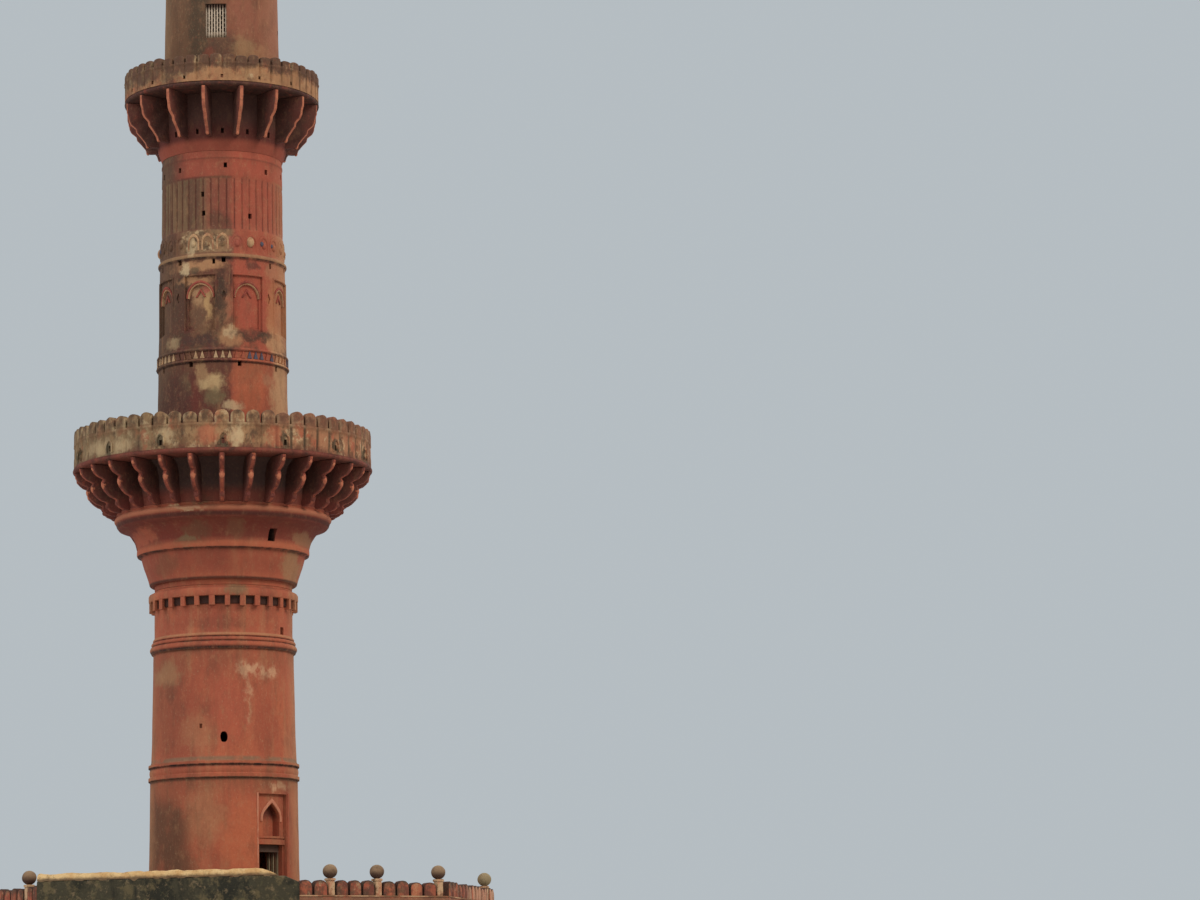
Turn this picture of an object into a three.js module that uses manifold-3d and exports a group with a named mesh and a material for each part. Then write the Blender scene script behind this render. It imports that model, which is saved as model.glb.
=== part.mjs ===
// Round brick minaret on an octagonal podium, as a 1:2 scale model.
// Lengths below are millimetres of the full-size tower; the group scales them down.
// Heights are measured from the podium's terrace, and the group lifts them so that
// the ground is z = 0. The entrance looks along -Y.

import * as THREE from 'three';
import * as BufferGeometryUtils from 'three/addons/utils/BufferGeometryUtils.js';
import Module from 'manifold-3d';

const wasm = await Module();
wasm.setup();

// Driving dimensions
const SCALE = 0.5;
const GAP = 0.7;
const DEG = Math.PI / 180;
const FACETS = 32;
const TOP_FACETS = 24;

const PODIUM_SIDES = 8;
const PODIUM_HEIGHT = 4600;
const PODIUM_APOTHEM = 11720;
const PODIUM_TURN = -13;
const PODIUM_PLINTH = { height: 450, proud: 250, slope: 120 };
const PODIUM_CORNICE = { height: 220, proud: 130, slope: 80 };
const PAVING = { apothem: 10950, thickness: 150 };
const FENCE = { apothem: 11130, thickness: 420, wall: 350, top: 1010, pitch: 700, merlon: 540, margin: 60 };
const FENCE_POST = { width: 330, top: 1090, ball: 315, sunk: 20, front: [-1040, 1290, 4400], side: [3400] };
const FENCE_CUT = { bottom: -400, top: 2500 };
const OLD_WALL = { thickness: 560, top: 1200, cap: 1540, lip: 90, bond: 10, side: 7 };
const OLD_WALL_END = { right: -2730, fall: 240, slope: 700, capRight: -3800, capCurve: 600 };

const STOREY_1 = { inner: 2300, doorSweep: 60, wallSweep: 80 };
const STOREY_2 = { inner: 2050, base: 20380, top: 34880, first: -130.25 };
const STOREY_3 = { inner: 1850, base: 37760, top: 46900, first: -160 };
const DOOR = { width: 1560, height: 3000, block: 2500 };
const WALL_FACE = 3430;
const DOOR_PANEL = { width: 1700, top: 5250, depth: 240 };
const DOOR_NICHE = { width: 1080, sill: 3400, spring: 4350, apex: 4850, depth: 620 };
const DOOR_AZIMUTH = -90;
const BALCONY_DOOR = { width: 900, spring: 1400, height: 1900 };

// How far in and out of each storey its cutters reach
const CUT_1 = { near: 1500, far: 4200 };
const CUT_CAPITAL = { near: 1500, far: 6000 };
const CUT_UPPER = { near: 1500, far: 3600 };
const CUT_TOP = { near: 900, far: 2600 };
const OVERLAP = 100;
const REACH = 30000;

const CAPITAL = { base: 14700, top: 20170, hollow: 2300, sectors: 3, first: -138 };
const BRACKETS_1 = { count: 30, first: -96, width: 250 };
const FLOOR_1 = { bottom: 20170, top: 20380, radius: 6900 };
const PARAPET_1 = {
  radius: 6840, thickness: 320, wall: 21520, top: 22140,
  count: 60, sectors: 4, first: -135,
};

const HALVES_FROM = -131.25;
const CORBEL_2 = { base: 34880, top: 37560 };
const BRACKETS_2 = { count: 16, first: -120, width: 220 };
const FLOOR_2 = { bottom: 37560, top: 37760, radius: 4600 };
const PARAPET_2 = {
  radius: 4540, thickness: 280, wall: 38700, top: 39080,
  count: 48, sectors: 2, first: HALVES_FROM,
};

const CORBEL_3 = { base: 46900, top: 48800 };
const BRACKETS_3 = { count: 12, first: -116.25, width: 220 };
const FLOOR_3 = { bottom: 48800, top: 48980, radius: 3600 };
const PARAPET_3 = {
  radius: 3540, thickness: 240, wall: 49720, top: 50100,
  count: 24, sectors: 2, first: HALVES_FROM,
};
const MERLON = { share: 0.88, bond: 60, inset: 40 };

const LANTERN = { inner: 1400, base: 48980, top: 53900 };
const LANTERN_ARCH = { count: 4, width: 900, sill: 700, spring: 2100, apex: 2800 };
const DOME = { radius: 2000, inner: 1440, base: 53900, height: 2900, crown: 300, swell: 0.06 };
const FINIAL = { seat: 440, top: 59300, facets: 12 };

const NICHE = { count: 8, first: -107.75, wall: 2900, bottom: 26560, spring: 27980, apex: 28670 };
const NICHE_FRAME = { width: 1640, bottom: 26410, top: 29080, depth: 90 };
const NICHE_ARCH = { width: 1300, depth: 170 };
const OVAL_WINDOW = { azimuths: [-131.5, 48.5], z: 7790, width: 300, height: 440 };
const SLIT_WINDOW = { azimuths: [-74.5, 105.5], z: 12700, width: 200, height: 340 };
const CAPITAL_WINDOW = { azimuths: [-98.5, 21.5, 141.5], z: 16900, width: 400, height: 560 };
const JALI_WINDOW = { azimuths: [-137.5, 42.5], width: 1000, bottom: 40290, top: 41920 };
const JALI = { bar: 80, columns: 4, rows: 3, outer: 2460, thickness: 160 };

// Outside profiles, each a list of [radius, height] from the bottom up
const STOREY_1_PROFILE = [
  [3460, GAP], [3350, 5950],
  [3430, 5990], [3430, 6160], [3350, 6200], [3350, 6540], [3425, 6580], [3425, 6730], [3290, 6780],
  [3195, 11680],
  [3250, 11780], [3360, 11930], [3360, 12140], [3290, 12330], [3150, 12400],
  [3150, 13730], [3420, 13900], [3420, 14500], [3140, 14600],
  [3140, CAPITAL.base - GAP],
];
const CAPITAL_PROFILE = [
  [3180, CAPITAL.base], [3340, 14930], [3510, 15460], [3740, 16200],
  [3950, 16450], [4035, 16940], [4290, 17330], [4440, 17480],
  [4850, 17620], [4975, 17900], [4975, 18180], [5060, 18700], [5150, CAPITAL.top - GAP],
];
const STOREY_2_PROFILE = [
  [3040, STOREY_2.base + GAP], [2970, 24930],
  [3070, 24960], [3070, 25110], [2975, 25140], [2975, 25440], [3050, 25470], [3050, 25600], [2960, 25640],
  [2900, 29720], [2985, 29800], [2985, 30000], [2880, 30090],
  [2790, 31700], [2780, STOREY_2.top - GAP],
];
const CORBEL_2_PROFILE = [[2900, CORBEL_2.base], [3040, 35400], [3060, CORBEL_2.top - GAP]];
const STOREY_3_PROFILE = [
  [2710, STOREY_3.base + GAP], [2540, 45600], [2640, 45680], [2640, 45860], [2520, 45940],
  [2500, STOREY_3.top - GAP],
];
const CORBEL_3_PROFILE = [[2580, CORBEL_3.base], [2700, 47300], [2720, CORBEL_3.top - GAP]];
const LANTERN_PROFILE = [
  [2020, LANTERN.base + GAP], [1930, 53200], [2260, 53480], [2260, 53640], [2060, 53740],
  [2060, LANTERN.top - GAP],
];
// Heights over the dome's crown
const FINIAL_PROFILE = [
  [FINIAL.seat, 0], [FINIAL.seat, 120], [150, 300], [400, 620], [400, 860], [130, 1180],
  [240, 1430], [70, 1650],
];

// A bracket's side view, as [radius, height]
const BRACKET_1_SIDE = [
  [4850, 18300], [5200, 18300], [5800, 18720], [6280, 19300],
  [6640, 19800], [6830, CAPITAL.top - GAP], [4850, CAPITAL.top - GAP],
];
const BRACKET_2_SIDE = [
  [2900, 35230], [3500, 35230], [3640, 35700], [4100, 36100],
  [4400, 36640], [4530, CORBEL_2.top - GAP], [2900, CORBEL_2.top - GAP],
];
const BRACKET_3_SIDE = [
  [2500, 47100], [2820, 47100], [3250, 48100], [3540, CORBEL_3.top - GAP], [2500, CORBEL_3.top - GAP],
];

// Plain materials, one for each kind of surface
const plaster = { color: 0xa05a3e, roughness: 0.9, metalness: 0 };
const weathered = { color: 0x94705a, roughness: 0.95, metalness: 0 };
const darkStone = { color: 0x3f3a2c, roughness: 0.95, metalness: 0 };
const paving = { color: 0xa08c70, roughness: 0.9, metalness: 0 };
const cream = { color: 0xb59c7c, roughness: 0.85, metalness: 0 };

const tower = new THREE.Group();
tower.scale.setScalar(SCALE);
tower.position.z = PODIUM_HEIGHT * SCALE;

// Solids

function signedVolume(positions, index) {
  let volume = 0;
  const a = new THREE.Vector3();
  const b = new THREE.Vector3();
  const c = new THREE.Vector3();
  for (let i = 0; i < index.length; i += 3) {
    a.fromArray(positions, index[i] * 3);
    b.fromArray(positions, index[i + 1] * 3);
    c.fromArray(positions, index[i + 2] * 3);
    volume += a.dot(b.cross(c)) / 6;
  }
  return volume;
}

function solid(geometry) {
  const bare = geometry.index ? geometry.toNonIndexed() : geometry.clone();
  bare.deleteAttribute('normal');
  bare.deleteAttribute('uv');
  const merged = BufferGeometryUtils.mergeVertices(bare, 0.01);
  const positions = merged.attributes.position.array;
  const faces = [];
  const index = merged.index.array;
  for (let i = 0; i < index.length; i += 3) {
    const [a, b, c] = [index[i], index[i + 1], index[i + 2]];
    if (a !== b && b !== c && c !== a) faces.push(a, b, c);
  }
  if (signedVolume(positions, faces) < 0) faces.reverse();
  return new wasm.Manifold(new wasm.Mesh({
    numProp: 3,
    vertProperties: new Float32Array(positions),
    triVerts: new Uint32Array(faces),
  }));
}

function union(solids) {
  return solids.reduce((sum, next) => sum.add(next));
}

function addNode(name, body, look, turn = 0) {
  const mesh = body.getMesh();
  const geometry = new THREE.BufferGeometry();
  geometry.setAttribute('position', new THREE.BufferAttribute(new Float32Array(mesh.vertProperties), 3));
  geometry.setIndex(new THREE.BufferAttribute(new Uint32Array(mesh.triVerts), 1));
  geometry.computeVertexNormals();
  const node = new THREE.Mesh(geometry, new THREE.MeshStandardMaterial(look));
  node.name = name;
  node.rotation.z = turn * DEG;
  tower.add(node);
}

// A ring turned from a closed outline, or a solid where the outline starts and ends on the axis
function turned(outline, facets, phiStart = 0) {
  const points = outline.map(([r, z]) => new THREE.Vector2(r, z));
  const geometry = new THREE.LatheGeometry(points, facets, phiStart);
  geometry.rotateX(Math.PI / 2);
  return solid(geometry);
}

function wallRing(profile, inner, facets) {
  const bottom = profile[0][1];
  const top = profile[profile.length - 1][1];
  return turned([...profile, [inner, top], [inner, bottom], profile[0]], facets);
}

// A frame at an azimuth: x runs round the tower, y up and z outwards
function outwardFrame(azimuth) {
  const a = azimuth * DEG;
  const outward = new THREE.Vector3(Math.cos(a), Math.sin(a), 0);
  const up = new THREE.Vector3(0, 0, 1);
  return new THREE.Matrix4().makeBasis(up.clone().cross(outward), up, outward);
}

// An outline seen from outside at an azimuth, extruded between two distances from the axis
function cutOut(shape, azimuth, near, far, curveSegments = 4) {
  const depth = far - near;
  const geometry = new THREE.ExtrudeGeometry(shape, { depth, bevelEnabled: false, curveSegments });
  geometry.translate(0, 0, near);
  geometry.applyMatrix4(outwardFrame(azimuth));
  return solid(geometry);
}

function rectangleBetween(left, right, bottom, top) {
  const shape = new THREE.Shape();
  shape.moveTo(left, bottom);
  shape.lineTo(right, bottom);
  shape.lineTo(right, top);
  shape.lineTo(left, top);
  shape.closePath();
  return shape;
}

function rectangle(width, bottom, top) {
  return rectangleBetween(-width / 2, width / 2, bottom, top);
}

// Two arcs that meet in a point, on upright sides
function pointedArch(width, bottom, spring, apex) {
  const half = width / 2;
  const rise = apex - spring;
  const radius = (rise * rise + half * half) / (2 * half);
  const sweep = Math.asin(Math.min(1, rise / radius));
  const shape = new THREE.Shape();
  shape.moveTo(-half, bottom);
  shape.lineTo(half, bottom);
  shape.lineTo(half, spring);
  shape.absarc(half - radius, spring, radius, 0, sweep, false);
  shape.absarc(radius - half, spring, radius, Math.PI - sweep, Math.PI, false);
  shape.closePath();
  return shape;
}

function oval(width, height, z) {
  const shape = new THREE.Shape();
  shape.absellipse(0, z, width / 2, height / 2, 0, 2 * Math.PI, false);
  return shape;
}

// The slice of the tower between two azimuths, less half a gap along each face
function sector(from, to, bottom, top) {
  const half = (to - from) / 2 * DEG;
  const middle = (from + to) / 2 * DEG;
  const tip = GAP / 2 / Math.sin(half);
  const point = (angle, length) => new THREE.Vector2(
    tip * Math.cos(middle) + length * Math.cos(angle),
    tip * Math.sin(middle) + length * Math.sin(angle));
  const outline = [point(middle, 0)];
  const steps = 4;
  for (let i = 0; i <= steps; i++) outline.push(point(middle - half + 2 * half * i / steps, REACH));
  const geometry = new THREE.ExtrudeGeometry(new THREE.Shape(outline),
    { depth: top - bottom + 2 * OVERLAP, bevelEnabled: false });
  geometry.translate(0, 0, bottom - OVERLAP);
  return solid(geometry);
}

function block(x0, x1, y0, y1, z0, z1) {
  const geometry = new THREE.BoxGeometry(x1 - x0, y1 - y0, z1 - z0);
  geometry.translate((x0 + x1) / 2, (y0 + y1) / 2, (z0 + z1) / 2);
  return solid(geometry);
}

// A flat fin standing out from the axis at an azimuth, from its side view
function fin(side, width, azimuth) {
  const shape = new THREE.Shape(side.map(([r, z]) => new THREE.Vector2(r, z)));
  const geometry = new THREE.ExtrudeGeometry(shape, { depth: width, bevelEnabled: false });
  geometry.translate(0, 0, -width / 2);
  geometry.rotateX(Math.PI / 2);
  geometry.rotateZ(azimuth * DEG);
  return solid(geometry);
}

// A merlon that narrows in steps to a blunt point, as half widths at fractions of its height
function merlonShape(width, bottom, top, steps) {
  const half = width / 2;
  const height = top - bottom;
  const right = steps.map(([w, h]) => new THREE.Vector2(half * w, bottom + height * h));
  const left = right.filter((p) => p.x > 0).reverse().map((p) => new THREE.Vector2(-p.x, p.y));
  return new THREE.Shape([...right, ...left]);
}

const ROUND_MERLON = [[1, 0], [1, 0.62], [0.66, 0.92], [0, 1]];
const PLAIN_MERLON = [[1, 0], [1, 0.6], [0, 1]];

function azimuthsBetween(first, count, from, to) {
  const list = [];
  const pitch = 360 / count;
  for (let i = 0; i < count; i++) {
    const a = first + pitch * i;
    const turn = (((a - from) % 360) + 360) % 360;
    if (turn < to - from) list.push(a);
  }
  return list;
}

// Podium

function buildPodium() {
  const corner = Math.cos(Math.PI / PODIUM_SIDES);
  const deep = -PODIUM_HEIGHT;
  const rim = -PAVING.thickness;
  const plain = PODIUM_APOTHEM / corner;
  const plinth = (PODIUM_APOTHEM + PODIUM_PLINTH.proud) / corner;
  const cornice = (PODIUM_APOTHEM + PODIUM_CORNICE.proud) / corner;
  const plinthTop = deep + PODIUM_PLINTH.height;
  const corniceFoot = rim - PODIUM_CORNICE.height;
  const outline = [
    [0, deep], [plinth, deep], [plinth, plinthTop], [plain, plinthTop + PODIUM_PLINTH.slope],
    [plain, corniceFoot - PODIUM_CORNICE.slope], [cornice, corniceFoot], [cornice, rim], [0, rim],
  ];
  addNode('podium', turned(outline, PODIUM_SIDES, Math.PI / PODIUM_SIDES), darkStone, PODIUM_TURN);
  const slab = PAVING.apothem / corner;
  const terrace = [[0, rim + GAP], [slab, rim + GAP], [slab, 0], [0, 0]];
  addNode('terrace_paving', turned(terrace, PODIUM_SIDES, Math.PI / PODIUM_SIDES), paving, PODIUM_TURN);
}

// The sides of the podium are built facing -Y and turned into place

// A low wall between two ends, with pointed merlons centred at the given places
function fenceWall(left, right, places) {
  const foot = -PAVING.thickness + GAP;
  const outline = [new THREE.Vector2(left, foot), new THREE.Vector2(right, foot)];
  outline.push(new THREE.Vector2(right, FENCE.wall));
  for (const x of [...places].reverse()) {
    const half = FENCE.merlon / 2;
    const shoulder = FENCE.top - half;
    outline.push(new THREE.Vector2(x + half, FENCE.wall), new THREE.Vector2(x + half, shoulder));
    outline.push(new THREE.Vector2(x, FENCE.top));
    outline.push(new THREE.Vector2(x - half, shoulder), new THREE.Vector2(x - half, FENCE.wall));
  }
  outline.push(new THREE.Vector2(left, FENCE.wall));
  return cutOut(new THREE.Shape(outline), -90, FENCE.apothem, FENCE.apothem + FENCE.thickness);
}

function merlonPlaces(from, to) {
  const count = Math.floor((to - from + FENCE.pitch - FENCE.merlon) / FENCE.pitch);
  const places = [];
  for (let i = 0; i < count; i++) places.push((from + to) / 2 + (i - (count - 1) / 2) * FENCE.pitch);
  return places;
}

function fencePost(x) {
  const half = FENCE_POST.width / 2;
  const foot = -PAVING.thickness + GAP;
  const axis = FENCE.apothem + FENCE.thickness / 2;
  const shaft = rectangleBetween(x - half, x + half, foot, FENCE_POST.top);
  const post = cutOut(shaft, -90, axis - half, axis + half);
  const ball = new THREE.SphereGeometry(FENCE_POST.ball, 6, 4);
  ball.rotateX(Math.PI / 2);
  ball.translate(x, -axis, FENCE_POST.top + FENCE_POST.ball - FENCE_POST.sunk);
  return post.add(solid(ball));
}

// A side's wall from a left end to the corner at its right, mitred, with posts among its merlons
function fenceSide(left, posts, wedge) {
  const half = (FENCE.apothem + FENCE.thickness) * Math.tan(Math.PI / PODIUM_SIDES);
  const corner = FENCE.apothem * Math.tan(Math.PI / PODIUM_SIDES);
  const inset = FENCE_POST.width / 2 + FENCE.margin;
  const between = posts.flatMap((x) => [x - inset, x + inset]);
  const ends = [Math.max(left, -corner) + FENCE.margin, ...between, corner - FENCE.margin];
  const places = [];
  for (let i = 0; i < ends.length; i += 2) places.push(...merlonPlaces(ends[i], ends[i + 1]));
  const wall = fenceWall(Math.max(left, -half), half, places).intersect(wedge);
  return union([wall, ...posts.map((x) => fencePost(x))]);
}

// A thick plain wall from the corner at its left, with a rounded capping
function oldWall(right, capRight, fall) {
  const foot = -PAVING.thickness + GAP;
  const near = FENCE.apothem;
  const { top, cap, lip, bond, thickness } = OLD_WALL;
  const left = -(near + thickness) * Math.tan(Math.PI / PODIUM_SIDES);
  const shape = new THREE.Shape();
  shape.moveTo(left, foot);
  shape.lineTo(right, foot);
  shape.lineTo(right, top - fall);
  shape.lineTo(right - OLD_WALL_END.slope, top);
  shape.lineTo(left, top);
  shape.closePath();
  const crown = new THREE.Shape();
  crown.moveTo(left, top - bond);
  crown.lineTo(capRight, top - bond);
  crown.quadraticCurveTo(capRight, cap, capRight - OLD_WALL_END.capCurve, cap);
  crown.lineTo(left, cap);
  crown.closePath();
  const wall = cutOut(shape, -90, near, near + thickness);
  return wall.add(cutOut(crown, -90, near + lip, near + thickness - lip, 4));
}

function buildFence() {
  const sideNames = ['front', 'front_right', 'right', 'back_right', 'back', 'back_left', 'left'];
  const halfSweep = 180 / PODIUM_SIDES;
  const wedge = sector(-90 - halfSweep, -90 + halfSweep, FENCE_CUT.bottom, FENCE_CUT.top);
  const front = fenceSide(OLD_WALL_END.right + GAP, FENCE_POST.front, wedge);
  const side = fenceSide(-PODIUM_APOTHEM, FENCE_POST.side, wedge);
  sideNames.forEach((name, i) => {
    addNode(`podium_parapet_${name}`, i === 0 ? front : side, plaster, PODIUM_TURN + 360 / PODIUM_SIDES * i);
  });
  const whole = (FENCE.apothem + OLD_WALL.thickness) * Math.tan(Math.PI / PODIUM_SIDES);
  const turn = PODIUM_TURN + 360 / PODIUM_SIDES * OLD_WALL.side;
  const wall = oldWall(whole, whole + OLD_WALL_END.capCurve, 0);
  addNode('podium_weathered_wall', wall.intersect(wedge), darkStone, turn);
  const { right, capRight, fall } = OLD_WALL_END;
  const wallEnd = oldWall(right, capRight, fall);
  addNode('podium_weathered_wall_end', wallEnd.intersect(wedge), darkStone, PODIUM_TURN);
}

// First storey

function windowHoles() {
  const holes = [];
  const shape = oval(OVAL_WINDOW.width, OVAL_WINDOW.height, OVAL_WINDOW.z);
  for (const a of OVAL_WINDOW.azimuths) {
    holes.push(cutOut(shape, a, CUT_1.near, CUT_1.far, 5));
  }
  for (const a of SLIT_WINDOW.azimuths) {
    const low = SLIT_WINDOW.z - SLIT_WINDOW.height / 2;
    holes.push(cutOut(rectangle(SLIT_WINDOW.width, low, low + SLIT_WINDOW.height), a, CUT_1.near, CUT_1.far));
  }
  return union(holes);
}

function buildStorey1() {
  const top = CAPITAL.base - GAP;
  const ring = wallRing(STOREY_1_PROFILE, STOREY_1.inner, FACETS);
  const panel = cutOut(rectangle(DOOR_PANEL.width, 0, DOOR_PANEL.top), DOOR_AZIMUTH,
    WALL_FACE - DOOR_PANEL.depth, CUT_1.far);
  const niche = cutOut(pointedArch(DOOR_NICHE.width, DOOR_NICHE.sill, DOOR_NICHE.spring, DOOR_NICHE.apex),
    DOOR_AZIMUTH, WALL_FACE - DOOR_NICHE.depth, CUT_1.far);
  const wall = ring.subtract(windowHoles()).subtract(panel).subtract(niche);
  const doorway = block(-DOOR.width / 2, DOOR.width / 2, -CUT_1.far, -CUT_1.near, -OVERLAP, DOOR.height);
  const half = DOOR.block / 2;
  const over = block(-half, half, -CUT_1.far, -CUT_1.near, DOOR.height, top + OVERLAP);
  const room = block(-half - GAP, half + GAP, -CUT_1.far, -CUT_1.near, DOOR.height - GAP, top + OVERLAP);
  const jambs = wall.subtract(doorway).subtract(room);
  const { doorSweep, wallSweep } = STOREY_1;
  const leftEdge = DOOR_AZIMUTH - doorSweep;
  const rightEdge = DOOR_AZIMUTH + doorSweep;
  addNode('storey1_wall_door_left', jambs.intersect(sector(leftEdge, DOOR_AZIMUTH, 0, top)), plaster);
  addNode('storey1_wall_door_right', jambs.intersect(sector(DOOR_AZIMUTH, rightEdge, 0, top)), plaster);
  addNode('storey1_wall_over_door', wall.intersect(over), plaster);
  ['right', 'back', 'left'].forEach((side, i) => {
    const from = rightEdge + wallSweep * i;
    addNode(`storey1_wall_${side}`, wall.intersect(sector(from, from + wallSweep, 0, top)), plaster);
  });
}

// First balcony

function buildCapital() {
  const ring = wallRing(CAPITAL_PROFILE, CAPITAL.hollow, FACETS);
  const low = CAPITAL_WINDOW.z - CAPITAL_WINDOW.height / 2;
  const opening = rectangle(CAPITAL_WINDOW.width, low, low + CAPITAL_WINDOW.height);
  const { near, far } = CUT_CAPITAL;
  const windows = union(CAPITAL_WINDOW.azimuths.map((a) => cutOut(opening, a, near, far)));
  const sweep = 360 / CAPITAL.sectors;
  for (let i = 0; i < CAPITAL.sectors; i++) {
    const from = CAPITAL.first + sweep * i;
    const wedge = sector(from, from + sweep, CAPITAL.base, CAPITAL.top);
    const places = azimuthsBetween(BRACKETS_1.first, BRACKETS_1.count, from, from + sweep);
    const brackets = places.map((a) => fin(BRACKET_1_SIDE, BRACKETS_1.width, a));
    const whole = union([ring, ...brackets]).subtract(windows);
    addNode(`capital_segment_${i + 1}`, whole.intersect(wedge), plaster);
  }
}

function buildFloor(name, floor, facets) {
  const low = floor.bottom;
  const high = floor.top;
  const edge = [[0, low], [floor.radius, low], [floor.radius, high], [0, high]];
  addNode(name, turned(edge, facets), plaster);
}

function buildParapet(name, parapet, floor, merlon, facets) {
  const outer = parapet.radius;
  const inner = outer - parapet.thickness;
  const foot = floor.top + GAP;
  const crest = parapet.wall;
  const ring = turned([[outer, foot], [outer, crest], [inner, crest], [inner, foot], [outer, foot]], facets);
  const pitch = 2 * outer * Math.tan(Math.PI / parapet.count);
  const tooth = merlonShape(pitch * MERLON.share, crest - MERLON.bond, parapet.top, merlon);
  const sweep = 360 / parapet.sectors;
  for (let i = 0; i < parapet.sectors; i++) {
    const from = parapet.first + sweep * i;
    const middle = from + 180 / parapet.count;
    const places = azimuthsBetween(middle, parapet.count, from, from + sweep);
    const teeth = places.map((a) => cutOut(tooth, a, inner + MERLON.inset, outer - MERLON.inset));
    const halves = parapet.sectors === 2;
    const wedge = halves ? halfSpace(from, foot, crest) : sector(from, from + sweep, foot, crest);
    addNode(`${name}_${i + 1}`, union([ring.intersect(wedge), ...teeth]), weathered);
  }
}

// Second storey, with blind niches

function nicheCuts(azimuth, radius) {
  const frame = cutOut(rectangle(NICHE_FRAME.width, NICHE_FRAME.bottom, NICHE_FRAME.top), azimuth,
    radius - NICHE_FRAME.depth, CUT_UPPER.far);
  const arch = cutOut(pointedArch(NICHE_ARCH.width, NICHE.bottom, NICHE.spring, NICHE.apex), azimuth,
    radius - NICHE_ARCH.depth, CUT_UPPER.far, 3);
  return union([frame, arch]);
}

// The doorway that opens from a storey on to the balcony at its foot
function balconyDoorway(base) {
  const shape = pointedArch(BALCONY_DOOR.width, base - OVERLAP, base + BALCONY_DOOR.spring,
    base + BALCONY_DOOR.height);
  return cutOut(shape, DOOR_AZIMUTH, CUT_UPPER.near, CUT_UPPER.far);
}

function buildStorey2() {
  const ring = wallRing(STOREY_2_PROFILE, STOREY_2.inner, FACETS);
  const cuts = [];
  for (let i = 0; i < NICHE.count; i++) cuts.push(nicheCuts(NICHE.first + 360 / NICHE.count * i, NICHE.wall));
  const base = STOREY_2.base;
  cuts.push(balconyDoorway(base));
  const wall = ring.subtract(union(cuts));
  const names = ['front', 'right', 'back', 'left'];
  names.forEach((side, i) => {
    const sweep = 360 / names.length;
    const from = STOREY_2.first + sweep * i;
    addNode(`storey2_wall_${side}`, wall.intersect(sector(from, from + sweep, base, STOREY_2.top)), plaster);
  });
}

function buildCorbels(name, corbel, profile, side, brackets, hollow, facets) {
  const ring = wallRing(profile, hollow, facets);
  for (let i = 0; i < 2; i++) {
    const from = HALVES_FROM + 180 * i;
    const places = azimuthsBetween(brackets.first, brackets.count, from, from + 180);
    const whole = union([ring, ...places.map((a) => fin(side, brackets.width, a))]);
    const wedge = halfSpace(from, corbel.base, corbel.top);
    addNode(`${name}_${i + 1}`, whole.intersect(wedge), plaster);
  }
}

// The half of the tower anticlockwise of an azimuth, less half a gap
function halfSpace(azimuth, bottom, top) {
  const geometry = new THREE.BoxGeometry(2 * REACH, REACH, top - bottom + 2 * OVERLAP);
  geometry.translate(0, REACH / 2 + GAP / 2, (top + bottom) / 2);
  geometry.rotateZ(azimuth * DEG);
  return solid(geometry);
}

// Third storey, with pierced screens in two windows

function buildStorey3() {
  const base = STOREY_3.base;
  const ring = wallRing(STOREY_3_PROFILE, STOREY_3.inner, FACETS);
  const cuts = JALI_WINDOW.azimuths.map((a) => cutOut(
    rectangle(JALI_WINDOW.width, JALI_WINDOW.bottom, JALI_WINDOW.top), a, CUT_UPPER.near, CUT_UPPER.far));
  cuts.push(balconyDoorway(base));
  const wall = ring.subtract(union(cuts));
  const names = ['front', 'right', 'left'];
  names.forEach((side, i) => {
    const sweep = 360 / names.length;
    const from = STOREY_3.first + sweep * i;
    addNode(`storey3_wall_${side}`, wall.intersect(sector(from, from + sweep, base, STOREY_3.top)), plaster);
  });
}

function buildJali(name, azimuth) {
  const width = JALI_WINDOW.width - 2 * GAP;
  const bottom = JALI_WINDOW.bottom + GAP;
  const top = JALI_WINDOW.top - GAP;
  const { outer } = JALI;
  const near = outer - JALI.thickness;
  const cell = (width - JALI.bar) / JALI.columns;
  const step = (top - bottom - JALI.bar) / JALI.rows;
  const cells = [];
  for (let i = 0; i < JALI.columns; i++) {
    for (let j = 0; j < JALI.rows; j++) {
      const hole = new THREE.BoxGeometry(cell - JALI.bar, step - JALI.bar, 2 * JALI.thickness);
      const x = -width / 2 + JALI.bar / 2 + cell * (i + 0.5);
      const y = bottom + JALI.bar / 2 + step * (j + 0.5);
      hole.translate(x, y, (near + outer) / 2);
      hole.applyMatrix4(outwardFrame(azimuth));
      cells.push(solid(hole));
    }
  }
  const screen = cutOut(rectangle(width, bottom, top), azimuth, near, outer);
  addNode(name, screen.subtract(union(cells)), cream);
}

// Top storey, dome and finial

function buildLantern() {
  const ring = wallRing(LANTERN_PROFILE, LANTERN.inner, TOP_FACETS);
  const arches = [];
  const base = LANTERN.base;
  const { count, width, spring, apex } = LANTERN_ARCH;
  for (let i = 0; i < count; i++) {
    const sill = i === 0 ? -OVERLAP : LANTERN_ARCH.sill;
    const shape = pointedArch(width, base + sill, base + spring, base + apex);
    arches.push(cutOut(shape, DOOR_AZIMUTH + 360 / count * i, CUT_TOP.near, CUT_TOP.far, 3));
  }
  addNode('top_storey', ring.subtract(union(arches)), plaster);
}

// A slightly swelling quarter curve, from the springing up to the finial's seat
function domeCurve(radius, height, seat, steps) {
  const points = [];
  for (let i = 0; i < steps; i++) {
    const t = i / steps * Math.PI / 2;
    const swell = 1 + DOME.swell * Math.sin(2 * t);
    points.push([radius * Math.cos(t) * swell, DOME.base + height * Math.sin(t)]);
  }
  return [...points, [seat, DOME.base + height], [0, DOME.base + height]];
}

function buildDome() {
  const outside = domeCurve(DOME.radius, DOME.height, FINIAL.seat, 6);
  const inside = domeCurve(DOME.inner, DOME.height - DOME.crown, 0.5 * FINIAL.seat, 4).reverse();
  addNode('dome', turned([...outside, ...inside, outside[0]], TOP_FACETS), weathered);
}

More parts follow.
